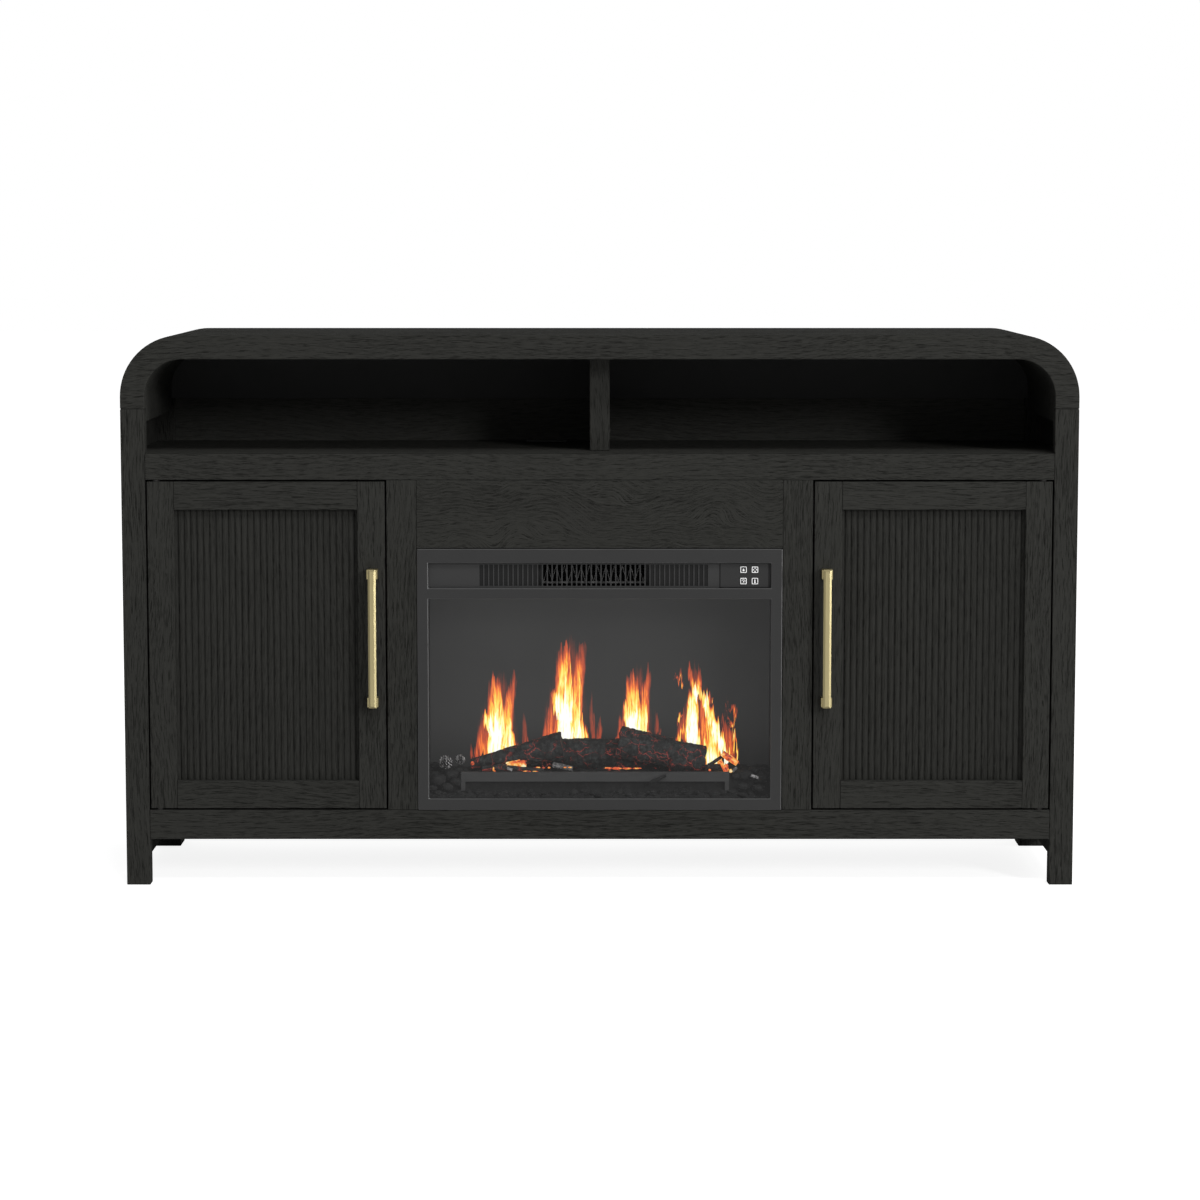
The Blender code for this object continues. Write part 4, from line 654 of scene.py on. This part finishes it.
def coal():
    """Dead coals and cinders with a grey bloom."""
    g = Graph("coal", Specular_IOR_Level=0.06)
    fine = g.noise(g.place(), 300.0, 4.0, 0.65)
    patch = g.noise(g.place(), 60.0, 2.0)
    tint = g.ramp(g.add(g.times(fine, 0.6), g.times(patch, 0.4)), COAL_COLOURS)
    g.feed(Base_Color=tint, Roughness=g.add(0.62, g.times(fine, 0.25)))
    g.bump(fine, 0.5 * MM, 0.5)
    return g.material


def ashen(name="ash", shift=0.0, gain=1.0):
    """Pale ash over a dark core: more ash with a higher shift, and more contrast with more gain."""
    g = Graph(name, Specular_IOR_Level=0.12)
    fine = g.noise(g.place(), 420.0, 3.0, 0.6)
    patch = g.noise(g.place(), 90.0, 2.0)
    cover = g.add(g.times(fine, 0.5 * gain), g.times(patch, 0.5 * gain), shift)
    g.feed(Base_Color=g.ramp(cover, ASH_COLOURS), Roughness=g.add(0.66, g.times(fine, 0.2)))
    g.bump(fine, 0.5 * MM, 0.6)
    return g.material


def ember_light():
    """Live embers, from white through orange to red."""
    g = Graph("ember_light", Base_Color=rgb(0.03, 0.01, 0.005), Emission_Strength=1.0)
    live = g.noise(g.place(), 110.0, 3.0, 0.6)
    g.feed(Emission_Color=g.ramp(live, EMBER_COLOURS), Roughness=g.add(0.6, g.times(live, 0.3)))
    return g.material


# Meshes

def new_object(name, data):
    """Makes an object and puts it in the scene."""
    obj = bpy.data.objects.new(name, data)
    bpy.context.scene.collection.objects.link(obj)
    return obj


def new_mesh(name, bm):
    mesh = bpy.data.meshes.new(name)
    bm.to_mesh(mesh)
    bm.free()
    return mesh


def new_piece(name, bm, body, slot, *materials):
    """Links a mesh in world coordinates as a piece that rides on a body."""
    bmesh.ops.recalc_face_normals(bm, faces=bm.faces)
    obj = new_object(name, new_mesh(name, bm))
    for material in materials:
        obj.data.materials.append(material)
    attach(obj, body)
    return obj


def smooth_shade(obj, degrees):
    """Shades a piece smooth, apart from edges sharper than an angle."""
    obj.data.shade_smooth()
    obj.data.set_sharp_from_angle(angle=math.radians(degrees))
    return obj


def around(count):
    """Each place in a closed loop with the next one."""
    return [(k, (k + 1) % count) for k in range(count)]


def sort_faces(bm):
    """Gives faces an order that is the same each run, which a new sphere's faces lack."""
    bm.verts.index_update()
    count = len(bm.verts)

    def rank(face):
        first, second, *_, last = sorted(v.index for v in face.verts)
        return (first * count + second) * count + last

    bm.faces.sort(key=rank)


def bark(spot, seed, lump):
    """How far bark stands out at a spot, as a share of the log's radius."""
    big = noise.noise(spot * 45 + Vector((seed, 0, 0)))
    small = noise.noise(spot * 190 + Vector((0, seed, 0)))
    pits = noise.voronoi(spot * 85 + Vector((seed, seed, 0)))[0]
    groove = min(1.0, (pits[1] - pits[0]) * 5)
    return 1 + lump * big + lump * 0.35 * small - 0.07 * (1 - groove)


def rough_bar(bm, start, end, radii, seed, rings, sides, lump):
    """A log between two points, with lumps and a chopped face at each end."""
    start = Vector(start)
    end = Vector(end)
    way = (end - start).normalized()
    turn = Vector((0, 0, 1)).rotation_difference(way).to_matrix()
    loops = []
    for i in range(rings + 1):
        share = i / rings
        centre = start + (end - start) * share
        radius = radii[0] + (radii[1] - radii[0]) * share
        wear_and_highlight = 0.96 if i in (0, rings) else 1.0
        near_end = 1 - 4 * share * (1 - share)
        loop = []
        for k in range(sides):
            angle = 2 * math.pi * k / sides
            out = turn @ Vector((math.cos(angle), math.sin(angle), 0))
            reach = radius * bark(centre + out * radius, seed, lump)
            chop = noise.noise(out * 1.6 + Vector((seed, i // rings, 3)))
            slant = way * radius * 0.16 * chop
            loop.append(bm.verts.new(centre + out * reach * wear_and_highlight + slant * near_end))
        loops.append(loop)
    for lower, upper in zip(loops, loops[1:]):
        for k, j in around(sides):
            bm.faces.new((lower[k], lower[j], upper[j], upper[k]))
    for loop, outward in ((loops[0], -1), (loops[-1], 1)):
        centre = sum((v.co for v in loop), Vector()) / sides
        dent = way * outward * 0.8 * MM
        inner = [bm.verts.new(centre + (v.co - centre) * 0.55 - dent) for v in loop]
        for k, j in around(sides):
            bm.faces.new((loop[k], loop[j], inner[j], inner[k]))
        bm.faces.new(inner)


def bars(rows):
    """A mesh of rough bars, from a row of values for each."""
    bm = bmesh.new()
    for row in rows:
        rough_bar(bm, *row)
    return bm


def chunk(bm, centre, size, seed):
    """A lump of coal: an uneven round solid."""
    made = bmesh.ops.create_icosphere(bm, subdivisions=2, radius=1.0)
    axis = Vector((math.sin(seed), math.cos(seed * 1.7), 0.6)).normalized()
    turn = Matrix.Rotation(seed * 2.4, 3, axis)
    for v in made["verts"]:
        big = noise.noise(v.co * 1.3 + Vector((seed * 7.1, 0, 0)))
        small = noise.noise(v.co * 4 + Vector((0, seed, 0)))
        local = turn @ (v.co * (1 + 0.32 * big + 0.10 * small))
        v.co = Vector(centre) + Vector([a * b for a, b in zip(local, size)])


# The coal bed

# The step in the bed: where it starts and its depth, the floors in front of it and behind it,
# and how fast the front one falls towards the glass.
BED_STEP = -149.4 * MM
STEP_DEPTH = 5 * MM
FRONT_FLOOR = 146.5 * MM
REAR_FLOOR = 177.0 * MM
FRONT_FALL = 2.5 / 24
GRID_COLUMNS = 230
GRID_ROWS = 46
LOOSE_COALS = 150
# Where loose coals lie in front of the step and behind it: the nearest and furthest place, and
# the greatest height of a coal's middle.
FRONT_COALS = (-0.170, -0.156, 153 * MM)
REAR_COALS = (-0.144, -0.074, 181 * MM)
# Coals heaped at the ends: the middle in metres, and the size in millimetres.
HEAPS = (
    (-0.262, -0.158, 0.168, 15), (-0.240, -0.150, 0.174, 13), (-0.252, -0.140, 0.182, 11),
    (-0.232, -0.158, 0.164, 10), (-0.266, -0.130, 0.186, 10), (-0.228, -0.140, 0.179, 9),
    (-0.246, -0.162, 0.156, 11), (-0.270, -0.160, 0.154, 9), (0.236, -0.150, 0.172, 13),
    (0.262, -0.152, 0.168, 13), (0.250, -0.138, 0.178, 11), (0.222, -0.148, 0.172, 9),
    (0.268, -0.132, 0.180, 9), (0.232, -0.160, 0.156, 11), (0.256, -0.162, 0.154, 11),
    (0.214, -0.140, 0.178, 8),
)
# Bars of wood, here and below: start, end, radii at these, seed, rings, sides and lumps.
BED_STICK = ((0.0844, -0.1625, 0.1640), (0.1070, -0.1625, 0.1745), (0.0032, 0.0024),
             41.0, 16, 10, 0.3)


def bed_height(x, y):
    """The height of the bed at a place, with its step in front and its lumps."""
    climb = min(max((y - BED_STEP) / STEP_DEPTH, 0), 1)
    base = FRONT_FLOOR + (REAR_FLOOR - FRONT_FLOOR) * climb
    if y < BED_STEP:
        base -= FRONT_FALL * (BED_STEP - y)
    cells = noise.voronoi(Vector((x * 78, y * 78, 0.3)))[0]
    dome = math.sqrt(max(0.0, 1 - min(cells[0] * 1.5, 1.0) ** 2))
    crumbs = noise.noise(Vector((x * 150, y * 150, 0)))
    return base + (dome - 0.75) * 6.5 * MM + 1.6 * MM * crumbs


def lumpy_floor(bm, low, high):
    """The top of the bed as a grid, with walls down to its foot."""
    grid = []
    for j in range(GRID_ROWS + 1):
        y = low.y + (high.y - low.y) * j / GRID_ROWS
        line = []
        for i in range(GRID_COLUMNS + 1):
            x = low.x + (high.x - low.x) * i / GRID_COLUMNS
            line.append(bm.verts.new((x, y, bed_height(x, y))))
        grid.append(line)
    for near, far in zip(grid, grid[1:]):
        for i in range(GRID_COLUMNS):
            bm.faces.new((near[i], near[i + 1], far[i + 1], far[i]))
    rim = grid[0] + [line[-1] for line in grid[1:]]
    rim += grid[-1][-2::-1] + [line[0] for line in grid[-2:0:-1]]
    foot = [bm.verts.new((v.co.x, v.co.y, low.z)) for v in rim]
    for k, j in around(len(rim)):
        bm.faces.new((rim[j], rim[k], foot[k], foot[j]))
    bm.faces.new(foot)


def loose_coals(bm, low, high):
    """Coals strewn over the floor, more of them in front of the step."""
    chance = random.Random(11)
    margin = 10 * MM
    share_in_front = 0.62
    for i in range(LOOSE_COALS):
        x = chance.uniform(low.x + margin, high.x - margin)
        in_front = chance.random() < share_in_front
        near, far, highest = FRONT_COALS if in_front else REAR_COALS
        y = chance.uniform(near, far)
        size = chance.uniform(3.2, 7.0) * MM
        z = min(bed_height(x, y) + size * chance.uniform(-0.1, 0.35), highest)
        sizes = (size * chance.uniform(0.9, 1.5), size, size * chance.uniform(0.6, 0.9))
        chunk(bm, (x, y, z), sizes, i * 0.37)


def make_bed():
    """The bed of coals: a lumpy floor with loose coals on it, in place of the plain solid."""
    low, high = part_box("ember_bed")
    bm = bmesh.new()
    lumpy_floor(bm, low, high)
    loose_coals(bm, low, high)
    for i, (x, y, z, size) in enumerate(HEAPS):
        sizes = (size * MM * 0.95, size * MM * 0.7, size * MM * 0.62)
        chunk(bm, (x, y, z), sizes, 3.1 + i)
    rough_bar(bm, *BED_STICK)
    bed = smooth_shade(new_piece("coal_bed", bm, "cabinet", "ember_resin", coal()), 55)
    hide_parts("ember_bed")


# Logs, cones, twigs and embers

LOG_SIDES = 40
# Name, start, end, radii at these, lumps and rings.
LOGS = (
    ("left", (-0.2090, -0.122, 0.1862), (-0.0600, -0.126, 0.2175), (0.0090, 0.0245), 0.05, 90),
    ("centre", (-0.0930, -0.098, 0.2010), (0.0980, -0.098, 0.2000), (0.0245, 0.0250), 0.07, 110),
    ("right", (0.0310, -0.124, 0.2245), (0.1150, -0.126, 0.2060), (0.0265, 0.0245), 0.032, 60),
    ("stump", (0.1130, -0.122, 0.2010), (0.1715, -0.120, 0.1960), (0.0262, 0.0208), 0.06, 44),
)
TWIGS = (
    ((-0.0760, -0.143, 0.1895), (-0.0440, -0.147, 0.1830), (0.0050, 0.0044), 21.0, 20, 12, 0.1),
    ((-0.1500, -0.151, 0.1848), (-0.1412, -0.152, 0.1815), (0.0026, 0.0028), 23.0, 14, 10, 0.1),
    ((0.2440, -0.1625, 0.1745), (0.2560, -0.1627, 0.1712), (0.0030, 0.0024), 27.0, 12, 10, 0.1),
    ((0.2150, -0.150, 0.1800), (0.2220, -0.150, 0.1860), (0.0030, 0.0022), 29.0, 10, 10, 0.1),
)
CHARCOAL = (
    ((0.1760, -0.140, 0.1870), (0.2000, -0.136, 0.2030), (0.0032, 0.0022), 31.0, 20, 12, 0.3),
    ((-0.1900, -0.146, 0.1830), (-0.1500, -0.148, 0.1860), (0.0044, 0.0060), 33.0, 24, 14, 0.3),
    ((-0.1500, -0.147, 0.1850), (-0.0900, -0.150, 0.1810), (0.0042, 0.0034), 35.0, 30, 12, 0.3),
    ((0.0050, -0.143, 0.1830), (0.0420, -0.145, 0.1815), (0.0036, 0.0036), 37.0, 20, 12, 0.3),
    ((0.1750, -0.139, 0.1850), (0.1920, -0.140, 0.1860), (0.0060, 0.0040), 39.0, 16, 12, 0.3),
)
LIVE_STICKS = (
    ((0.1985, -0.145, 0.2085), (0.2225, -0.147, 0.1915), (0.0046, 0.0052), 43.0, 18, 12, 0.3),
    ((0.1945, -0.1485, 0.1975), (0.2055, -0.1500, 0.1770), (0.0026, 0.0038), 47.0, 16, 12, 0.2),
    ((-0.1520, -0.1370, 0.1885), (-0.1290, -0.1375, 0.1910), (0.0040, 0.0072), 51.0, 18, 14, 0.2),
    ((-0.1290, -0.1370, 0.1900), (-0.1190, -0.1370, 0.1900), (0.0070, 0.0066), 53.0, 10, 12, 0.2),
)
# The middle of each ember in metres, and its half width and half height in millimetres.
EMBERS = (
    (-0.1715, -0.1505, 0.1835, 2.0, 3.4), (-0.1695, -0.1505, 0.1790, 1.5, 2.6),
    (-0.1000, -0.1500, 0.1855, 4.0, 1.5), (-0.0910, -0.1500, 0.1853, 3.0, 1.4),
    (-0.0820, -0.1500, 0.1855, 2.2, 1.4), (-0.0560, -0.1500, 0.1858, 2.4, 1.1),
    (-0.0480, -0.1500, 0.1858, 3.4, 1.1), (-0.1180, -0.1530, 0.1800, 7.0, 1.1),
    (-0.1040, -0.1530, 0.1798, 5.0, 0.9), (0.0140, -0.1490, 0.1845, 6.0, 1.6),
    (0.0280, -0.1490, 0.1842, 8.0, 2.2), (0.0440, -0.1490, 0.1842, 7.0, 1.6),
    (0.0600, -0.1490, 0.1842, 8.0, 1.2), (0.2050, -0.1480, 0.1850, 3.4, 7.0),
    (0.2120, -0.1490, 0.1800, 3.0, 3.4), (0.1780, -0.1490, 0.1815, 2.2, 1.8),
    (-0.2060, -0.1390, 0.1905, 2.6, 3.6),
)
EMBER_HALF_DEPTH = 1.6 * MM
# Middle, radius, length and turn.
CONES = {
    "large": ((-0.2505, -0.1500, 0.1935), 0.0098, 0.0210, 0.4),
    "small": ((-0.2268, -0.1430, 0.1970), 0.0072, 0.0150, 2.1),
}
CONE_SCALES = 40
CONE_TILT = 62
GOLDEN_ANGLE = 2.39996
UP = Vector((0, 0, 1))


def make_logs():
    """The charred logs, in place of the plain moulding."""
    for i, (name, start, end, radii, lump, rings) in enumerate(LOGS):
        bm = bars([(start, end, radii, 1.0 + 4 * i, rings, LOG_SIDES, lump)])
        look = charred(f"charred_{name}", 1.45 * i)
        log = new_piece(f"log_{name}", bm, "cabinet", "log_resin", look)
        smooth_shade(log, 45)
    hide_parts("log_set")


def scale_cone(bm, centre, radius, length, turn):
    """A pine cone: overlapping scales in a spiral round a core, with tips of their own look."""
    centre = Vector(centre)
    tilt = Matrix.Rotation(math.radians(CONE_TILT), 3, "Y") @ Matrix.Rotation(turn, 3, "Z")
    made = bmesh.ops.create_uvsphere(bm, u_segments=14, v_segments=8, radius=1.0)
    sort_faces(bm)
    for v in made["verts"]:
        x, y, z = v.co
        core = Vector((x * radius * 0.72, y * radius * 0.72, z * length * 0.44))
        v.co = centre + tilt @ core
    thick = length * 0.030
    for i in range(CONE_SCALES):
        share = (i + 0.5) / CONE_SCALES
        angle = i * GOLDEN_ANGLE + turn
        level = (share - 0.5) * length
        belly = radius * math.sqrt(max(0.06, 1 - (2 * share - 1) ** 2))
        out = Vector((math.cos(angle), math.sin(angle), 0))
        side = Vector((-math.sin(angle), math.cos(angle), 0))
        root = out * belly * 0.45 + UP * level
        tip = out * belly * 1.02 + UP * (level + length * 0.10)
        wide = belly * 0.36
        ring = []
        for point, half in ((root, wide * 0.5), (tip, wide)):
            for u, w in ((-1, -1), (1, -1), (1, 1), (-1, 1)):
                corner = point + side * half * u + UP * thick * w
                ring.append(bm.verts.new(centre + tilt @ corner))
        nose = tip + out * belly * 0.22 + UP * length * 0.015
        nose = bm.verts.new(centre + tilt @ nose)
        for k, j in around(4):
            bm.faces.new((ring[k], ring[j], ring[4 + j], ring[4 + k]))
            bm.faces.new((ring[4 + k], ring[4 + j], nose)).material_index = 1
        bm.faces.new((ring[3], ring[2], ring[1], ring[0]))


def make_litter():
    """Cones, burnt twigs and live embers among the coals."""
    scales = ashen("cone_scale", -0.625, 2.2)
    tips = ashen("cone_tip", -0.540, 2.2)
    for size, form in CONES.items():
        bm = bmesh.new()
        scale_cone(bm, *form)
        new_piece(f"pine_cone_{size}", bm, "cabinet", "ember_resin", scales, tips)
    twigs = new_piece("burnt_twigs", bars(TWIGS), "cabinet", "ember_resin", ashen())
    smooth_shade(twigs, 50)
    look = charred("charred_sticks", 6.2)
    sticks = new_piece("charcoal_sticks", bars(CHARCOAL), "cabinet", "log_resin", look)
    smooth_shade(sticks, 50)
    bm = bars(LIVE_STICKS)
    for i, (x, y, z, wide, tall) in enumerate(EMBERS):
        chunk(bm, (x, y, z), (wide * MM, EMBER_HALF_DEPTH, tall * MM), 50 + i)
    embers = new_piece("live_embers", bm, "cabinet", "ember_resin", ember_light())
    smooth_shade(embers, 60)


# Symbols on the keys

WHITE_INK, DARK_INK = 0, 1  # a key face's materials


def flat_shape(bm, middle, outline, above, below, material_index):
    """A thin plate on a key, from an outline about the middle of the key's face.

    It reaches from a height above the face to one below it. All but the middle is in millimetres.
    """
    rings = []
    for height in (above, -below):
        y = middle[1] - height * MM
        spots = [(middle[0] + u * MM, y, middle[2] + v * MM) for u, v in outline]
        rings.append([bm.verts.new(spot) for spot in spots])
    front, back = rings
    faces = [bm.faces.new(front), bm.faces.new(back[::-1])]
    for i, j in around(len(outline)):
        faces.append(bm.faces.new((front[j], front[i], back[i], back[j])))
    for face in faces:
        face.material_index = material_index


def arc(radius, start, end, count=14):
    """Points along an arc about the origin, between two angles in degrees."""
    points = []
    for i in range(count + 1):
        angle = math.radians(start + (end - start) * i / count)
        points.append((radius * math.cos(angle), radius * math.sin(angle)))
    return points


def disc(x, z, radius, count=18):
    """The outline of a round shape."""
    return [(x + u, z + v) for u, v in arc(radius, 0, 360 - 360 / count, count - 1)]


def round_square(half, radius):
    """The outline of a square about the origin with rounded corners."""
    inset = half - radius
    points = []
    for corner, (u, v) in enumerate(((1, 1), (-1, 1), (-1, -1), (1, -1))):
        turned = arc(radius, 90 * corner, 90 * corner + 90, 6)
        points += [(u * inset + x, v * inset + z) for x, z in turned]
    return points


def line_shape(path, width):
    """The outline of an open line of a given width."""
    left = []
    right = []
    for i, (x, z) in enumerate(path):
        before = Vector(path[max(i - 1, 0)])
        after = Vector(path[min(i + 1, len(path) - 1)])
        way = (after - before).normalized()
        across = Vector((-way.y, way.x)) * width / 2
        left.append((x + across.x, z + across.y))
        right.append((x - across.x, z - across.y))
    return left + right[::-1]


def key_symbols():
    """For each key, the solid shapes of its symbol about the key's middle, in millimetres."""
    flame = [(0.3, 2.4), (-0.4, 1.5), (-1.2, 0.6), (-1.6, -0.6), (-1.4, -1.9), (-0.7, -2.6),
             (0.7, -2.6), (1.4, -1.9), (1.6, -0.6), (1.2, 0.4), (0.8, 0.9), (0.6, 1.6)]
    blade = [(1.1, 0.0), (3.0, 1.35), (3.4, 0.5), (3.4, -0.5), (3.0, -1.35)]
    fan = []
    for quarter in range(4):
        angle = math.radians(90 * quarter)
        c, s = math.cos(angle), math.sin(angle)
        fan.append([(u * c - v * s, u * s + v * c) for u, v in blade])
    dial = [line_shape(arc(2.4, -20, 170), 0.9), disc(0.2, -0.4, 1.0),
            line_shape([(-1.2, -2.8), (1.2, -2.8)], 0.8)]
    thermometer = [line_shape([(-0.1, -1.6), (-0.1, 2.7)], 1.7), disc(-0.1, -2.0, 1.2)]
    return {"top_left": [flame], "top_right": fan, "bottom_left": dial,
            "bottom_right": thermometer}


def make_key_faces():
    """On each key a white frame, a dark field and the symbol in white."""
    white = powder_coat("key_white", 0.80, 0.4, grain=0.01)
    ink = powder_coat("key_ink", 0.006, 0.4, grain=0.01)
    for place, shapes in key_symbols().items():
        low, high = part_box(f"key_{place}")
        middle = ((low.x + high.x) / 2, low.y, (low.z + high.z) / 2)
        bm = bmesh.new()
        flat_shape(bm, middle, round_square(5.0, 1.5), 0.12, 0.20, WHITE_INK)
        flat_shape(bm, middle, round_square(3.95, 1.0), 0.17, -0.05, DARK_INK)
        for i, shape in enumerate(shapes):
            flat_shape(bm, middle, shape, 0.22 + 0.02 * i, -0.10, WHITE_INK)
        new_piece(f"symbol_{place}", bm, f"{place}_key", "key_plastic", white, ink)


# Studio

# The camera that fits the photograph, in metres, degrees and millimetres.
CAMERA_PLACE = (0, -5.57792, 1.04887)
CAMERA_PITCH = 83.7887
CAMERA_LENS = 101.87
CAMERA_SENSOR = 36
CAMERA_SHIFT = 0.00026
# Soft boxes: angle to the right of the front, angle up, distance, width and height, and power.
LAMPS = {
    "key": (36, 18, 14.0, (2.4, 2.4), 850),
    "side": (86, 8, 8.0, (1.6, 2.6), 420),
    "overhead": (20, 50, 9.0, (3.4, 2.0), 340),
}
LAMP_AIM = Vector((0, 0, 0.42))
WORLD_LIGHT = 0.42
FLOOR_HALF = 30
FLOOR_HEIGHT = -0.2 * MM


def make_camera():
    camera = new_object("camera", bpy.data.cameras.new("camera"))
    camera.location = CAMERA_PLACE
    camera.rotation_euler = (math.radians(CAMERA_PITCH), 0, 0)
    camera.data.lens = CAMERA_LENS
    camera.data.sensor_width = CAMERA_SENSOR
    camera.data.shift_x = CAMERA_SHIFT
    camera.data.clip_end = 100
    bpy.context.scene.camera = camera


def make_lamp(name, azimuth, elevation, distance, size, power):
    """A soft box that faces the cabinet."""
    light = bpy.data.lights.new(name, "AREA")
    light.shape = "RECTANGLE"
    light.size, light.size_y = size
    light.energy = power
    lamp = new_object(name, light)
    a = math.radians(azimuth)
    e = math.radians(elevation)
    way = Vector((math.sin(a) * math.cos(e), -math.cos(a) * math.cos(e), math.sin(e)))
    lamp.location = LAMP_AIM + distance * way
    lamp.rotation_euler = (LAMP_AIM - lamp.location).to_track_quat("-Z", "Y").to_euler()


def mix_by_ray(tree, lighting, seen):
    """One shader that lights the cabinet, and one for what a camera, a mirror or a pane sees."""
    rays = tree.nodes.new("ShaderNodeLightPath").outputs
    share = math_node(tree, "MAXIMUM", rays["Is Camera Ray"], rays["Is Glossy Ray"])
    share = math_node(tree, "MAXIMUM", share, rays["Is Transmission Ray"])
    return make_node(tree, "ShaderNodeMixShader", {0: share, 1: lighting, 2: seen})


def make_world():
    """Even light from all round, which looks white."""
    world = bpy.data.worlds.new("studio")
    world.use_nodes = True
    tree = world.node_tree
    lighting = tree.nodes["Background"]
    set_input(tree, lighting, "Color", grey(1.0))
    set_input(tree, lighting, "Strength", WORLD_LIGHT)
    seen = make_node(tree, "ShaderNodeBackground", {"Color": grey(1.0), "Strength": 1.0})
    both = mix_by_ray(tree, lighting.outputs[0], seen)
    set_input(tree, tree.nodes["World Output"], "Surface", both)
    bpy.context.scene.world = world


def make_floor():
    """A plain pale floor, which keeps the cabinet's shadow."""
    bm = bmesh.new()
    bmesh.ops.create_grid(bm, x_segments=8, y_segments=8, size=FLOOR_HALF)
    floor = new_object("floor", new_mesh("floor", bm))
    floor.location.z = FLOOR_HEIGHT
    material = bpy.data.materials.new("floor_white")
    material.use_nodes = True
    tree = material.node_tree
    tree.nodes.remove(tree.nodes["Principled BSDF"])
    lighting = make_node(tree, "ShaderNodeBsdfDiffuse", {"Color": grey(0.8)})
    pale = make_node(tree, "ShaderNodeBsdfDiffuse", {"Color": grey(0.45)})
    white = make_node(tree, "ShaderNodeEmission", {"Strength": 0.86})
    seen = make_node(tree, "ShaderNodeAddShader", {0: pale, 1: white})
    set_input(tree, tree.nodes["Material Output"], "Surface", mix_by_ray(tree, lighting, seen))
    floor.data.materials.append(material)


def main():
    make_camera()
    make_world()
    make_floor()
    for name, values in LAMPS.items():
        make_lamp(name, *values)
    dress_wood()
    dress_hardware()
    make_bed()
    make_logs()
    make_litter()
    make_key_faces()
    bpy.context.scene.view_settings.view_transform = "Standard"


main()
